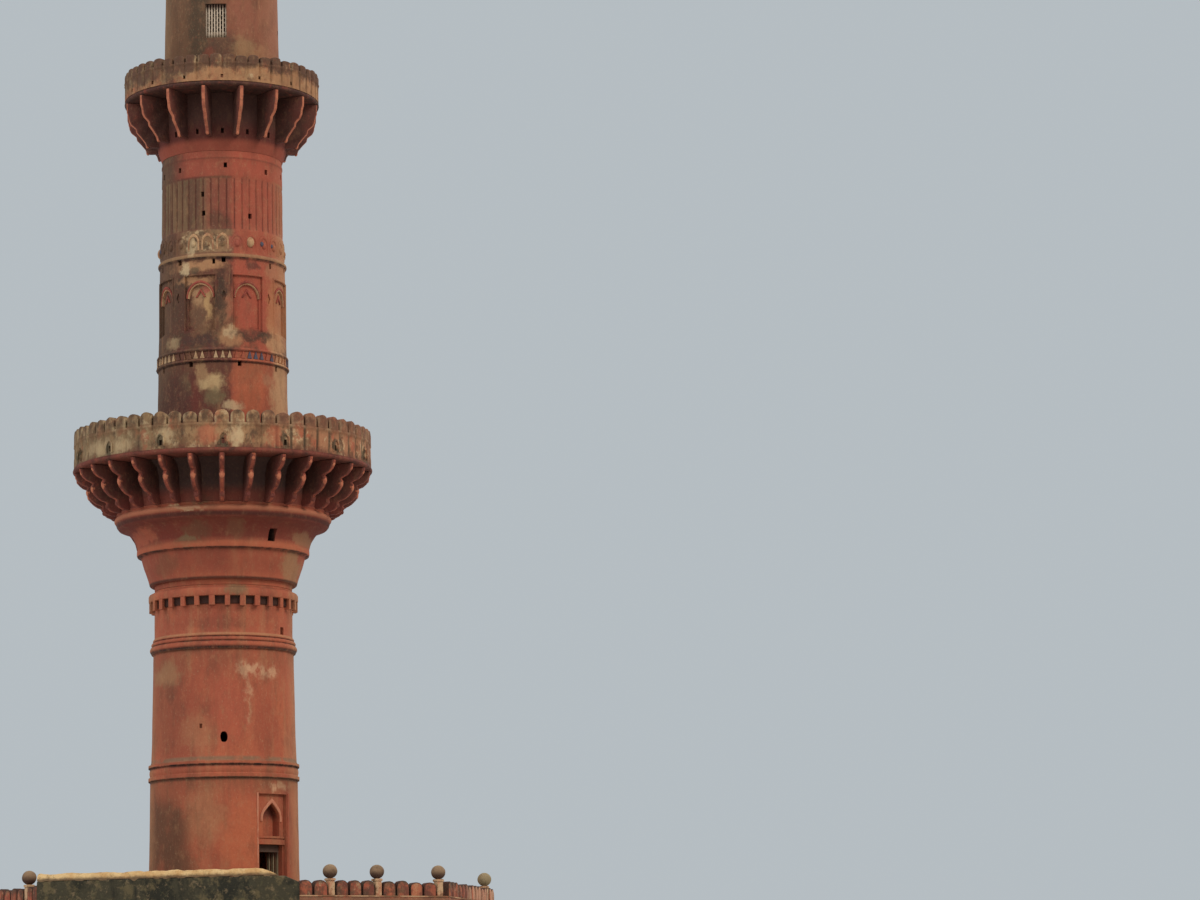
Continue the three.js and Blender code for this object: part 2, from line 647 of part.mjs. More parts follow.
function buildFinial() {
  const foot = DOME.base + DOME.height + GAP;
  const stem = FINIAL_PROFILE.map(([r, height]) => [r, foot + height]);
  addNode('finial', turned([[0, foot], ...stem, [0, FINIAL.top]], FINIAL.facets), cream);
}

buildPodium();
buildFence();
buildStorey1();
buildCapital();
buildFloor('balcony1_floor', FLOOR_1, FACETS);
buildParapet('balcony1_parapet', PARAPET_1, FLOOR_1, ROUND_MERLON, FACETS);
buildStorey2();
buildCorbels('balcony2_corbels', CORBEL_2, CORBEL_2_PROFILE, BRACKET_2_SIDE, BRACKETS_2,
  STOREY_2.inner, FACETS);
buildFloor('balcony2_floor', FLOOR_2, FACETS);
buildParapet('balcony2_parapet', PARAPET_2, FLOOR_2, PLAIN_MERLON, FACETS);
buildStorey3();
JALI_WINDOW.azimuths.forEach((a, i) => buildJali(`window_screen_${i + 1}`, a));
buildCorbels('balcony3_corbels', CORBEL_3, CORBEL_3_PROFILE, BRACKET_3_SIDE, BRACKETS_3,
  STOREY_3.inner, TOP_FACETS);
buildFloor('balcony3_floor', FLOOR_3, TOP_FACETS);
buildParapet('balcony3_parapet', PARAPET_3, FLOOR_3, PLAIN_MERLON, TOP_FACETS);
buildLantern();
buildDome();
buildFinial();

export default tower;
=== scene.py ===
import math
import random

import bmesh
import bpy
from mathutils import Matrix, Vector, noise


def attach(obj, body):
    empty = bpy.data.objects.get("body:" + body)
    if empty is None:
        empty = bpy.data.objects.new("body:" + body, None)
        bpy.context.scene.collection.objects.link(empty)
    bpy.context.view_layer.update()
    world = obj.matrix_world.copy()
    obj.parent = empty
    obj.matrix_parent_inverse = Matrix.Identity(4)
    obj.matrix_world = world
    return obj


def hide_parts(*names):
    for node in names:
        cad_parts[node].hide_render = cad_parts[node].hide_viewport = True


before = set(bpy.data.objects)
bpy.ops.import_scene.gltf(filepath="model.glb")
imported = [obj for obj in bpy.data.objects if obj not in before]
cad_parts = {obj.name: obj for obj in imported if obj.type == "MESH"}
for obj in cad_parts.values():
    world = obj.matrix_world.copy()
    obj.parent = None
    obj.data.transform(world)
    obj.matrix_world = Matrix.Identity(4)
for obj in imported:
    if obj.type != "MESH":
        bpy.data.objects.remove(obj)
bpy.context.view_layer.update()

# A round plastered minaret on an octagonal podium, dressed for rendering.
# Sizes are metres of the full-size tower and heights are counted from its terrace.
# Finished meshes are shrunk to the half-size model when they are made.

SCALE = 0.5
TERRACE = 4.6
FACE = -131.5
TO_MODEL = Matrix.Translation((0, 0, TERRACE * SCALE)) @ Matrix.Scale(SCALE, 4)

random.seed(7)


def polar(angle, radius, z):
    return (radius * math.cos(angle), radius * math.sin(angle), z)


def heading(azimuth):
    """The directions outwards and sideways at an azimuth."""
    a = math.radians(azimuth)
    return Vector((math.cos(a), math.sin(a), 0)), Vector((-math.sin(a), math.cos(a), 0))


def put(name, data):
    """A new object of the scene."""
    made = bpy.data.objects.new(name, data)
    bpy.context.scene.collection.objects.link(made)
    return made


# Camera, lights and floor

CAMERA_DISTANCE = 170.0
CAMERA_HEIGHT = -5.87
CAMERA_YAW = math.radians(5.89)
CAMERA_PITCH = math.radians(9.025)
CAMERA_ROLL = math.radians(-1.103)
LENS_IN_PIXELS = 3700.0
FRAME_WIDTH = 1200.0
SENSOR = 36.0
FAR_END = 600
FLOOR_RADIUS, FLOOR_DROP, FLOOR_GREY = 42, 0.01, (0.55, 0.54, 0.52, 1)
STUDIO_COLOUR, STUDIO_STRENGTH = (0.62, 0.68, 0.72, 1), 0.75
# Name, degrees from the weathered face, elevation, strength, spread in degrees and colour
SUNS = (("key", 50, 36, 1.5, 25, (1.0, 0.94, 0.86)),
        ("fill", -58, 30, 1.3, 60, (0.94, 0.96, 1.0)),
        ("rim", 150, 45, 1.0, 40, (1.0, 0.95, 0.88)))


def make_camera():
    out, right = heading(FACE)
    level = right * math.sin(CAMERA_YAW) - out * math.cos(CAMERA_YAW)
    forward = level * math.cos(CAMERA_PITCH) + Vector((0, 0, math.sin(CAMERA_PITCH)))
    side = right * math.cos(CAMERA_YAW) + out * math.sin(CAMERA_YAW)
    top = side.cross(forward)
    x = side * math.cos(CAMERA_ROLL) + top * math.sin(CAMERA_ROLL)
    y = top * math.cos(CAMERA_ROLL) - side * math.sin(CAMERA_ROLL)
    data = bpy.data.cameras.new("camera")
    data.sensor_width = SENSOR
    data.lens = SENSOR * LENS_IN_PIXELS / FRAME_WIDTH
    data.clip_end = FAR_END
    camera = put("camera", data)
    place = TO_MODEL @ (out * CAMERA_DISTANCE + Vector((0, 0, CAMERA_HEIGHT)))
    turn = Matrix((x, y, -forward)).transposed().to_4x4()
    camera.matrix_world = Matrix.Translation(place) @ turn
    bpy.context.scene.camera = camera


def make_light():
    for name, turn, elevation, strength, spread, colour in SUNS:
        data = bpy.data.lights.new(name, "SUN")
        data.energy = strength
        data.angle = math.radians(spread)
        data.color = colour
        e = math.radians(elevation)
        towards = Vector(polar(math.radians(FACE + turn), math.cos(e), math.sin(e)))
        put(name, data).rotation_euler = towards.to_track_quat("Z", "Y").to_euler()
    world = bpy.data.worlds.new("studio")
    bpy.context.scene.world = world
    world.use_nodes = True
    background = world.node_tree.nodes["Background"]
    background.inputs["Color"].default_value = STUDIO_COLOUR
    background.inputs["Strength"].default_value = STUDIO_STRENGTH
    view = bpy.context.scene.view_settings
    view.view_transform = "Standard"
    view.look = "None"


def make_floor():
    mesh = bpy.data.meshes.new("floor")
    bm = bmesh.new()
    bmesh.ops.create_circle(bm, cap_ends=True, radius=FLOOR_RADIUS, segments=96)
    bm.to_mesh(mesh)
    bm.free()
    floor = put("floor", mesh)
    floor.location.z = -FLOOR_DROP
    coat = bpy.data.materials.new("studio_floor")
    coat.use_nodes = True
    shader = coat.node_tree.nodes["Principled BSDF"]
    shader.inputs["Base Color"].default_value = FLOOR_GREY
    shader.inputs["Roughness"].default_value = 0.9
    mesh.materials.append(coat)


# Colours, from 0 to 255 as they look in daylight

TERRACOTTA = (168, 88, 62)
ORANGE_RED = (182, 98, 66)
BRICK_RED = (164, 80, 60)
DEEP_RED = (136, 66, 50)
MAROON = (96, 54, 44)
# Soot, also the colour of the painted shade in recesses, under ledges and under the balconies
SOOT_AND_SHADE = (48, 33, 28)
BROWN = (112, 78, 54)
DARK_BROWN = (80, 59, 44)
TAN = (172, 124, 86)
PINK_TAN = (168, 108, 78)
OCHRE = (158, 120, 84)
OLIVE = (118, 100, 70)
CREAM = (202, 172, 130)
LICHEN = (70, 64, 48)
MOSS = (92, 86, 58)
LIME = (214, 178, 126)
STONE = (146, 122, 92)
DUST = (176, 156, 126)
BLACKENED = (38, 36, 28)


def tint(*colour):
    """The colour as light adds up."""
    def linear(v):
        v /= 255
        return v / 12.92 if v <= 0.04045 else ((v + 0.055) / 1.055) ** 2.4
    return (*map(linear, colour), 1.0)


# Materials

class Coat:
    """A node material built up one layer of colour after another, in the full-size tower's metres."""

    SPOT_EDGE = 0.4

    def __init__(self, name, colour):
        self.material = bpy.data.materials.new(name)
        self.material.use_nodes = True
        self.tree = self.material.node_tree
        self.tree.nodes.clear()
        self.colour = tint(*colour)
        self.relief = None
        self.drift = None
        own = self.node("ShaderNodeTexCoord").outputs["Object"]
        grown = self.vector("MULTIPLY", own, (1 / SCALE, 1 / SCALE, 1 / SCALE))
        self.place = self.vector("ADD", grown, (0, 0, -TERRACE))
        sideways = {0: self.place, 1: heading(FACE)[1]}
        self.across = self.node("ShaderNodeVectorMath", sideways, operation="DOT_PRODUCT").outputs["Value"]
        self.x, self.y, self.height = self.node("ShaderNodeSeparateXYZ", {0: self.place}).outputs
        self.radius = self.length(self.x, self.y)

    def node(self, kind, inputs=(), **settings):
        """A new node with its inputs linked or set."""
        made = self.tree.nodes.new(kind)
        for key, value in settings.items():
            setattr(made, key, value)
        for key, value in dict(inputs).items():
            if isinstance(value, bpy.types.NodeSocket):
                self.tree.links.new(value, made.inputs[key])
            elif value is not None:
                made.inputs[key].default_value = value
        return made

    def vector(self, operation, a, b):
        return self.node("ShaderNodeVectorMath", {0: a, 1: b}, operation=operation).outputs["Vector"]

    def math(self, operation, a, b=0.0):
        return self.node("ShaderNodeMath", {0: a, 1: b}, operation=operation).outputs["Value"]

    def both(self, *masks):
        """The product of all the masks."""
        product = masks[0]
        for mask in masks[1:]:
            product = self.math("MULTIPLY", product, mask)
        return product

    def length(self, a, b):
        return self.math("SQRT", self.math("ADD", self.both(a, a), self.both(b, b)))

    def noise(self, scale, detail=4, rough=0.6, stretch=1.0, shift=0.0):
        """Cloudy noise with features about 1 / scale metres wide and stretch times as tall."""
        moved = self.vector("ADD", self.place, (shift, shift * 0.7, shift * 1.3))
        squeezed = self.vector("MULTIPLY", moved, (1, 1, 1 / stretch))
        inputs = {"Vector": squeezed, "Scale": scale, "Detail": detail, "Roughness": rough}
        return self.node("ShaderNodeTexNoise", inputs).outputs["Fac"]

    def shaken(self, value, amount, *numbers):
        """The value, moved up and down by the noise of these numbers."""
        shake = self.both(self.math("SUBTRACT", self.noise(*numbers), 0.5), amount)
        return self.math("ADD", value, shake)

    def step(self, value, low, high):
        """0 under low, 1 over high, smooth between; low over high turns it round."""
        inputs = {"Value": value, "From Min": min(low, high), "From Max": max(low, high),
                  "To Min": float(low > high), "To Max": float(low < high)}
        return self.node("ShaderNodeMapRange", inputs, interpolation_type="SMOOTHSTEP").outputs["Result"]

    def side(self, start, full):
        """A mask that grows along the distance across the weathered face."""
        return self.step(self.across, start, full)

    def rise(self, start, full):
        """A mask that grows along the height."""
        return self.step(self.height, start, full)

    def belt(self, low, high, soft=0.08):
        return self.both(self.rise(low - soft, low + soft), self.rise(high + soft, high - soft))

    def stripes(self, count, first, wide):
        """Upright lines at count azimuths, faded out where the sine of their phase reaches wide."""
        angle = self.math("ARCTAN2", self.y, self.x)
        phase = self.both(self.math("SUBTRACT", angle, math.radians(first)), count / 2)
        return self.step(self.math("ABSOLUTE", self.math("SINE", phase)), wide, 0.0)

    def warped(self):
        """Distance across and height, shaken a little, and a fine crumble, shared by all the spots."""
        if self.drift is None:
            self.drift = (self.shaken(self.across, 0.9, 1.4, 4, 0.6, 1, 41),
                          self.shaken(self.height, 0.9, 1.4, 4, 0.6, 1, 47),
                          self.shaken(0.0, 1.3, 5, 7, 0.7, 1.4, 53))
        return self.drift

    def spot(self, across, height, half_width, half_height):
        """A ragged spot, placed by its distance across the weathered face and its height."""
        side, up, crumble = self.warped()
        dx = self.math("DIVIDE", self.math("SUBTRACT", side, across), half_width)
        dz = self.math("DIVIDE", self.math("SUBTRACT", up, height), half_height)
        far = self.math("ADD", self.length(dx, dz), crumble)
        return self.step(far, 1 + self.SPOT_EDGE, 1 - self.SPOT_EDGE)

    def cloud(self, scale, low, high, stretch=1.0, shift=0.0, rough=0.66):
        """Covers where a cloudy noise is over low, in full where it is over high."""
        return self.step(self.noise(scale, 6, rough, stretch, shift), low, high)

    def paint(self, mask, colour, strength):
        amount = mask if strength == 1.0 else self.both(mask, strength)
        mixed = {0: amount, 6: self.colour, 7: tint(*colour)}
        self.colour = self.node("ShaderNodeMix", mixed, data_type="RGBA").outputs[2]

    def layers(self, *rows):
        """Paints rows of a colour and its strength, one over another, each where all the row's masks are.

        Four numbers before the colour add a spot; three add a cloud, whose other numbers end the row.
        """
        for row in rows:
            masks = [part for part in row if isinstance(part, bpy.types.NodeSocket)]
            plain = [part for part in row if not isinstance(part, bpy.types.NodeSocket)]
            before = [isinstance(part, tuple) for part in plain].index(True)
            numbers, (colour, strength, *others) = plain[:before], plain[before:]
            if before == 3:
                masks.append(self.cloud(*numbers, *others))
            if before == 4:
                masks.append(self.spot(*numbers))
            self.paint(self.both(*masks), colour, strength)
        return self

    def hollow(self, low, high, radius):
        """Painted shade, in the soot colour, in what is cut deeper than a radius between two heights."""
        deep = self.step(self.radius, radius, radius - 0.12)
        return self.layers((self.belt(low, high, 0.05), deep, SOOT_AND_SHADE, 0.93))

    def ledges(self, *table):
        """Painted shade just under each ledge, and brown grime where it runs further down, both broken into
        streaks.
        """
        for ledge, depth, strength in table:
            reach = self.both(self.rise(ledge - depth, ledge), self.rise(ledge + 0.03, ledge))
            run = self.step(self.noise(2.6, 4, 0.6, 9, ledge), 0.25, 0.62)
            self.layers((reach, run, SOOT_AND_SHADE if depth < 0.3 else BROWN, strength))
        return self

    def bump(self, height, distance, strength):
        inputs = {"Strength": strength, "Distance": distance * SCALE, "Height": height, "Normal": self.relief}
        self.relief = self.node("ShaderNodeBump", inputs).outputs["Normal"]

    def lumps(self, *rows):
        """Relief from noises, each with its scale, detail, roughness, depth, strength and perhaps a shift."""
        for scale, detail, rough, depth, strength, *shift in rows:
            self.bump(self.noise(scale, detail, rough, 1.0, *shift), depth, strength)
        return self

    def plaster(self, strength=1.0, shift=0.0):
        """The lumps, trowel marks and pits that all the lime plaster shares, and its grime and mottling."""
        self.layers(
            (1.2, 0.44, 0.74, DARK_BROWN, 0.42 * strength, 2.4, shift + 2, 0.74),
            (2.8, 0.50, 0.74, TAN, 0.34 * strength, 1.7, shift + 6, 0.74),
            (9, 0.48, 0.72, DEEP_RED, 0.25 * strength, 1, shift),
            (12, 0.55, 0.74, CREAM, 0.2 * strength, 1.6, shift + 5),
            (26, 0.60, 0.70, SOOT_AND_SHADE, 0.3 * strength, 1, shift + 9))
        return self.lumps((1.1, 4, 0.55, 0.10, 0.5, shift), (7, 5, 0.65, 0.03, 0.6, shift + 3),
                          (40, 3, 0.6, 0.006, 0.6, shift + 8))

    def finish(self, roughness=0.9):
        inputs = {"Base Color": self.colour, "Roughness": roughness, "Specular IOR Level": 0.25,
                  "Normal": self.relief}
        shader = self.node("ShaderNodeBsdfPrincipled", inputs)
        self.node("ShaderNodeOutputMaterial", {"Surface": shader.outputs["BSDF"]})
        return self.material


def red_coat(name, shift=0.0):
    """Terracotta plaster with broad tonal drifts and rain streaks."""
    return Coat(name, TERRACOTTA).layers(
        (0.28, 0.40, 0.66, DEEP_RED, 0.55, 1.8, shift, 0.5),
        (0.5, 0.50, 0.72, ORANGE_RED, 0.8, 2.5, shift + 4),
        (1.5, 0.50, 0.74, TAN, 0.42, 9, shift + 7), (2.4, 0.54, 0.76, BROWN, 0.45, 12, shift + 11))


SCUFFS = ((0.9, 10.9, 0.32, 0.38, 0.7), (1.75, 10.8, 0.6, 0.3, 0.65), (1.05, 9.3, 0.2, 0.95, 0.45),
          (2.35, 5.6, 0.6, 0.22, 0.7))


def storey1_coat():
    coat = red_coat("storey1_plaster")
    left = coat.side(-1.3, -3.0)
    coat.layers(
        (coat.belt(2.0, 5.7, 0.5), left, BROWN, 0.3), (coat.belt(7.2, 11.4, 0.5), left, BROWN, 0.3),
        (-0.9, 4.2, 0.9, 1.3, TAN, 0.4), (0.9, 3.0, 1.0, 1.9, ORANGE_RED, 0.8),
        (-1.6, 2.0, 0.5, 0.7, BROWN, 0.5), (-2.5, 10.75, 0.55, 0.55, OCHRE, 0.6),
        (-2.4, 9.9, 0.3, 0.5, DARK_BROWN, 0.35), (-1.1, 8.0, 0.8, 0.9, TAN, 0.35),
        (0.3, 8.9, 0.9, 1.6, BRICK_RED, 0.5), (0.6, 14.4, 0.5, 0.3, OLIVE, 0.7),
        (-0.4, 12.95, 1.4, 0.3, MAROON, 0.2), (1.9, 8.2, 0.5, 1.4, DEEP_RED, 0.4),
        *((3.0, 0.40, 0.58, (206, 160, 122), strength, 1.6, 14, 0.6, coat.spot(*place))
          for *place, strength in SCUFFS),
        (0.55, 0.32, 0.54, (92, 64, 46), 0.85, 1.5, 12, 0.6, coat.belt(1.4, 5.0, 0.6), coat.side(-1.1, -2.1)),
        # The right and left edges are painted tan as rims of light.
        (coat.side(2.75, 3.35), TAN, 0.6), (coat.side(-2.95, -3.4), TAN, 0.5),
        # A painted highlight along the top of the triple ring.
        (coat.belt(12.40, 12.52, 0.03), TAN, 0.6),
        (0.9, 0.36, 0.50, (126, 100, 76), 0.8, 1, 17, coat.belt(6.72, 6.92, 0.06)),
        # Painted shadow lines under the fillets of the rings.
        *((coat.belt(low, high, 0.04), (88, 46, 36), 0.75)
          for low, high in ((5.88, 5.97), (6.50, 6.58), (11.78, 11.92))))
    # Painted shade under the rings' ledges, and brown runs of grime below two of them.
    coat.ledges((6.0, 0.22, 1.0), (6.6, 0.2, 1.0), (11.86, 0.22, 1.0), (12.16, 0.1, 0.8), (12.36, 0.09, 0.8),
                (6.0, 1.1, 0.5), (11.8, 1.6, 0.35))
    # Painted shade in the top of the niche over the door.
    coat.layers((coat.step(coat.radius, 3.12, 3.0), coat.belt(4.2, 5.0, 0.25), (82, 35, 31), 0.85))
    # Painted shade in the oval windows, slits and holes, and in the gaps between the dentils.
    return coat.hollow(7.4, 13.0, 3.05).plaster().hollow(13.80, 14.18, 3.33).finish()


def capital_coat():
    coat = red_coat("capital_plaster", 20)
    coat.layers(
        # The flare under the torus is painted dark as its shade.
        (coat.side(1.2, -2.4), DEEP_RED, 0.3), (coat.belt(16.7, 17.85, 0.12), (104, 43, 34), 0.8),
        (coat.belt(15.2, 16.3, 0.3), DEEP_RED, 0.4), (-3.6, 17.0, 0.6, 0.4, TERRACOTTA, 0.7),
        (0.6, 17.1, 0.4, 0.5, (122, 78, 54), 0.6), (-1.2, 17.1, 0.6, 0.4, BROWN, 0.5),
        (-1.6, 16.6, 0.5, 0.22, OLIVE, 0.7), (-1.6, 18.0, 0.8, 0.10, CREAM, 0.75),
        (-1.0, 18.4, 0.5, 0.2, OLIVE, 0.6), (3.1, 15.6, 0.42, 0.75, OCHRE, 0.7),
        (3.7, 16.8, 0.5, 0.3, OCHRE, 0.5), (-2.6, 15.7, 0.5, 0.5, BROWN, 0.4),
        # Painted highlights along the fillet and along the torus under the brackets.
        (coat.belt(16.32, 16.62, 0.03), ORANGE_RED, 0.5),
        (coat.belt(17.86, 18.10, 0.03), (178, 112, 82), 0.6))
    # Painted shade under the fillet.
    coat.ledges((16.32, 0.16, 0.9))
    # Painted shade under the torus and under the bell's lip, and in the cove behind the brackets, darkest up
    # under the floor.
    coat.layers(
        (coat.belt(17.62, 17.80, 0.06), (66, 34, 28), 0.75),
        (coat.belt(14.93, 15.04, 0.05), (62, 36, 29), 0.85),
        (coat.rise(18.12, 18.3), (104, 50, 42), 0.8), (coat.rise(18.5, 19.1), (78, 60, 54), 0.9))
    # Painted shade inside the windows.
    return coat.hollow(16.5, 17.3, 3.98).plaster(0.55, 20).finish()


def bracket_coat(name, foot, dark_radius):
    """Brackets under a balcony: maroon, their sides painted dark as shade and darker still towards the wall
    and up under the floor, redder at their feet.
    """
    coat = Coat(name, (104, 54, 44))
    coat.layers(
        (1.7, 0.42, 0.62, MAROON, 0.8, 1, 3), (3.0, 0.56, 0.70, BRICK_RED, 0.5, 1, 6),
        (4.0, 0.58, 0.70, BROWN, 0.5, 1, 16), (coat.rise(foot + 0.9, foot + 0.2), (112, 52, 43), 0.7),
        (coat.step(coat.radius, dark_radius, dark_radius - 0.6), coat.rise(foot + 0.3, foot + 0.9), SOOT_AND_SHADE, 0.6))
    return coat.plaster(0.6, 40).finish(0.8)


def nose_highlight_coat():
    """Bracket noses and edges, painted bright terracotta as highlights."""
    return Coat("bracket_nose_highlight", (186, 108, 78)).layers(
        (2.2, 0.46, 0.66, DEEP_RED, 0.75, 1, 4), (5, 0.50, 0.70, TAN, 0.5), (9, 0.55, 0.70, MAROON, 0.5, 1, 8)
    ).lumps((20, 3, 0.6, 0.01, 0.5)).finish(0.75)


def bell_coat(name, foot):
    """The drum behind the brackets: red at its foot and painted dark up under the floor as its shade."""
    coat = Coat(name, (146, 72, 54))
    coat.layers((coat.rise(foot + 0.3, foot + 0.65), (84, 40, 34), 0.9),
                (coat.rise(foot + 0.7, foot + 1.6), (84, 55, 47), 0.88))
    return coat.plaster(0.4, foot).finish()


def slab_coat(name, colour):
    """The edge and underside of a balcony's floor, painted dark for the shade under it, with clouds of soot,
    red and brown.
    """
    return Coat(name, colour).layers(
        (1.2, 0.44, 0.66, SOOT_AND_SHADE, 0.7, 1, 5), (2.4, 0.52, 0.70, DEEP_RED, 0.7, 1, 9),
        (6, 0.56, 0.70, BROWN, 0.5, 1, 12)).plaster(0.6, 45).finish()


def parapet_coat(name, foot, crest, count, first_gap, shift):
    """Ochre weathered plaster: olive at the left, pinker at the right, with dark lines down from the gaps, in
    the grooves, that are painted shade mixed with grime.
    """
    coat = Coat(name, OCHRE)
    # Dark lines in the grooves under the gaps: painted shade mixed with grime.
    groove_shade_and_grime = coat.stripes(count, first_gap, 0.5)
    coat.layers(
        (0.5, 0.45, 0.65, TAN, 0.7, 1.5, shift), (coat.side(0.5, -4.5), OLIVE, 0.5),
        (coat.side(1.0, 3.5), PINK_TAN, 0.65), (1.1, 0.52, 0.62, TERRACOTTA, 0.75, 1.2, shift + 9),
        (1.7, 0.52, 0.62, CREAM, 0.65, 1.0, shift + 12, 0.72),
        (1.4, 0.48, 0.60, BROWN, 0.8, 1.6, shift + 3, 0.72),
        (2.6, 0.50, 0.64, DARK_BROWN, 0.8, 2.2, shift + 6, 0.72),
        (coat.side(-1.0, -5.0), (122, 102, 74), 0.55),
        (0.6, 0.44, 0.54, DARK_BROWN, 0.85, 1.2, shift + 15, groove_shade_and_grime), (groove_shade_and_grime, coat.side(1.2, 3.0), LICHEN, 0.6))
    coat.ledges((crest + 0.05, 0.45, 0.7))
    return coat.layers(
        (2.6, 0.40, 0.58, DARK_BROWN, 0.85, 1.5, shift + 18, coat.rise(crest - 0.1, crest + 0.25)),
        (1.9, 0.44, 0.56, CREAM, 0.75, 1.5, shift + 19, coat.stripes(count, first_gap, 0.85),
         coat.rise(crest - 0.2, crest + 0.1)),
        (1.5, 0.36, 0.60, MAROON, 0.75, 1, shift + 21, coat.rise(foot + 0.3, foot)))


def parapet1_coat():
    coat = parapet_coat("balcony1_plaster", 20.4, 21.5, 60, -129, 60)
    coat.layers((-0.75, 20.95, 0.42, 0.38, (176, 98, 70), 0.7), (0.62, 20.85, 0.3, 0.4, CREAM, 0.75),
                (-5.1, 20.75, 1.0, 0.35, CREAM, 0.5), (-2.6, 21.0, 0.35, 0.4, CREAM, 0.6),
                (2.4, 20.9, 0.3, 0.5, TERRACOTTA, 0.6))
    for k in range(-3, 4):
        across, along, z = polar(math.radians(90 - 24 * k), 1, 20.7)
        coat.layers((HOOD_RADIUS * across, z, 0.2 * max(0.35, along), 0.36, LICHEN, 0.85))
    coat.layers((coat.rise(21.3, 21.6), coat.side(1.0, 2.6), (118, 76, 58), 0.5))
    return coat.plaster(0.9, 60).finish(0.95)


def parapet_high_coat(name, foot, crest, count, first_gap, shift):
    """A tan band over the floor and a dark one over it, up to the merlons' tops."""
    coat = parapet_coat(name, foot, crest, count, first_gap, shift)
    sunk = coat.both(coat.side(0.0, -1.8), 0.42)
    ragged = coat.shaken(coat.math("ADD", coat.height, sunk), 1.6, 1.1, 5, 0.65, 1, shift)
    band = coat.step(ragged, crest - 0.15, crest - 0.45)
    coat.layers(
        (1.3, 0.34, 0.50, TAN, 0.85, 1, shift + 24, band),
        (1.1, 0.50, 0.62, TERRACOTTA, 0.8, 1, shift + 27, band, coat.side(0.5, -1.5)),
        (1.6, 0.40, 0.58, (116, 72, 54), 0.85, 1.3, shift + 33, band, coat.side(-1.2, -3.0)),
        # More painted shade in the grooves under the gaps at the right.
        (coat.side(2.2, 3.6), coat.stripes(count, first_gap, 0.7), DARK_BROWN, 0.6),
        (1.3, 0.34, 0.50, (92, 64, 50), 0.9, 1.5, shift + 30, coat.step(ragged, crest - 0.4, crest - 0.1)))
    return coat.plaster(0.9, shift).finish(0.95)


# The patches of plaster on the second storey, under its lower rings and round its niches
STOREY2_FOOT_SPOTS = (
    (1.3, 23.9, 0.85, 1.3, ORANGE_RED, 0.8),
    (-0.5, 24.0, 0.6, 0.45, (190, 156, 110), 0.9), (-0.95, 24.6, 0.25, 0.4, OCHRE, 0.9),
    (-0.4, 23.3, 0.4, 0.4, OLIVE, 0.8), (0.45, 22.95, 0.5, 0.24, CREAM, 0.7),
    (2.05, 24.2, 0.22, 0.36, PINK_TAN, 0.9), (-1.7, 23.9, 0.24, 0.5, OLIVE, 0.6),
    (-1.2, 23.4, 0.25, 0.8, (108, 54, 44), 0.7), (-2.1, 23.3, 0.6, 1.3, (82, 50, 42), 0.75),
    (2.6, 23.6, 0.35, 1.8, (188, 142, 102), 0.85))
STOREY2_WALL_SPOTS = (
    (0.35, 26.1, 0.5, 0.5, TAN, 0.75), (0.4, 26.3, 0.26, 0.3, CREAM, 0.5),
    (-2.15, 25.95, 0.28, 0.34, (172, 144, 106), 0.65), (2.4, 26.2, 0.4, 0.7, (184, 136, 96), 0.85),
    (1.35, 26.25, 0.85, 0.27, (66, 50, 40), 0.9), (-1.0, 26.0, 0.8, 0.26, (74, 52, 45), 0.8),
    (0.2, 27.4, 0.3, 0.6, PINK_TAN, 0.6), (-0.95, 27.6, 0.5, 1.1, OCHRE, 0.7),
    (-0.6, 27.8, 0.2, 0.8, (188, 146, 98), 0.8), (-1.2, 28.1, 0.22, 0.4, (190, 146, 104), 0.55),
    (-1.1, 27.1, 0.35, 0.6, (96, 66, 50), 0.8), (-0.75, 28.4, 0.24, 0.2, (178, 92, 76), 0.8),
    (-0.05, 27.9, 0.22, 1.3, (60, 48, 38), 0.8), (-1.75, 28.9, 0.3, 0.35, (62, 54, 44), 0.7),
    (-1.9, 27.9, 0.35, 1.6, DARK_BROWN, 0.6), (-1.2, 28.85, 0.7, 0.16, TAN, 0.9),
    (1.2, 27.65, 0.75, 1.25, BRICK_RED, 0.85), (2.35, 27.6, 0.35, 1.3, (170, 108, 72), 0.8),
    (-1.0, 29.5, 1.1, 0.24, TAN, 0.9), (-1.75, 29.35, 0.22, 0.34, CREAM, 0.8),
    (-1.2, 29.3, 0.25, 0.2, LICHEN, 0.7), (1.3, 29.4, 0.85, 0.35, BRICK_RED, 0.85),
    (1.4, 29.45, 0.25, 0.24, MAROON, 0.8), (2.2, 29.4, 0.3, 0.4, PINK_TAN, 0.8))


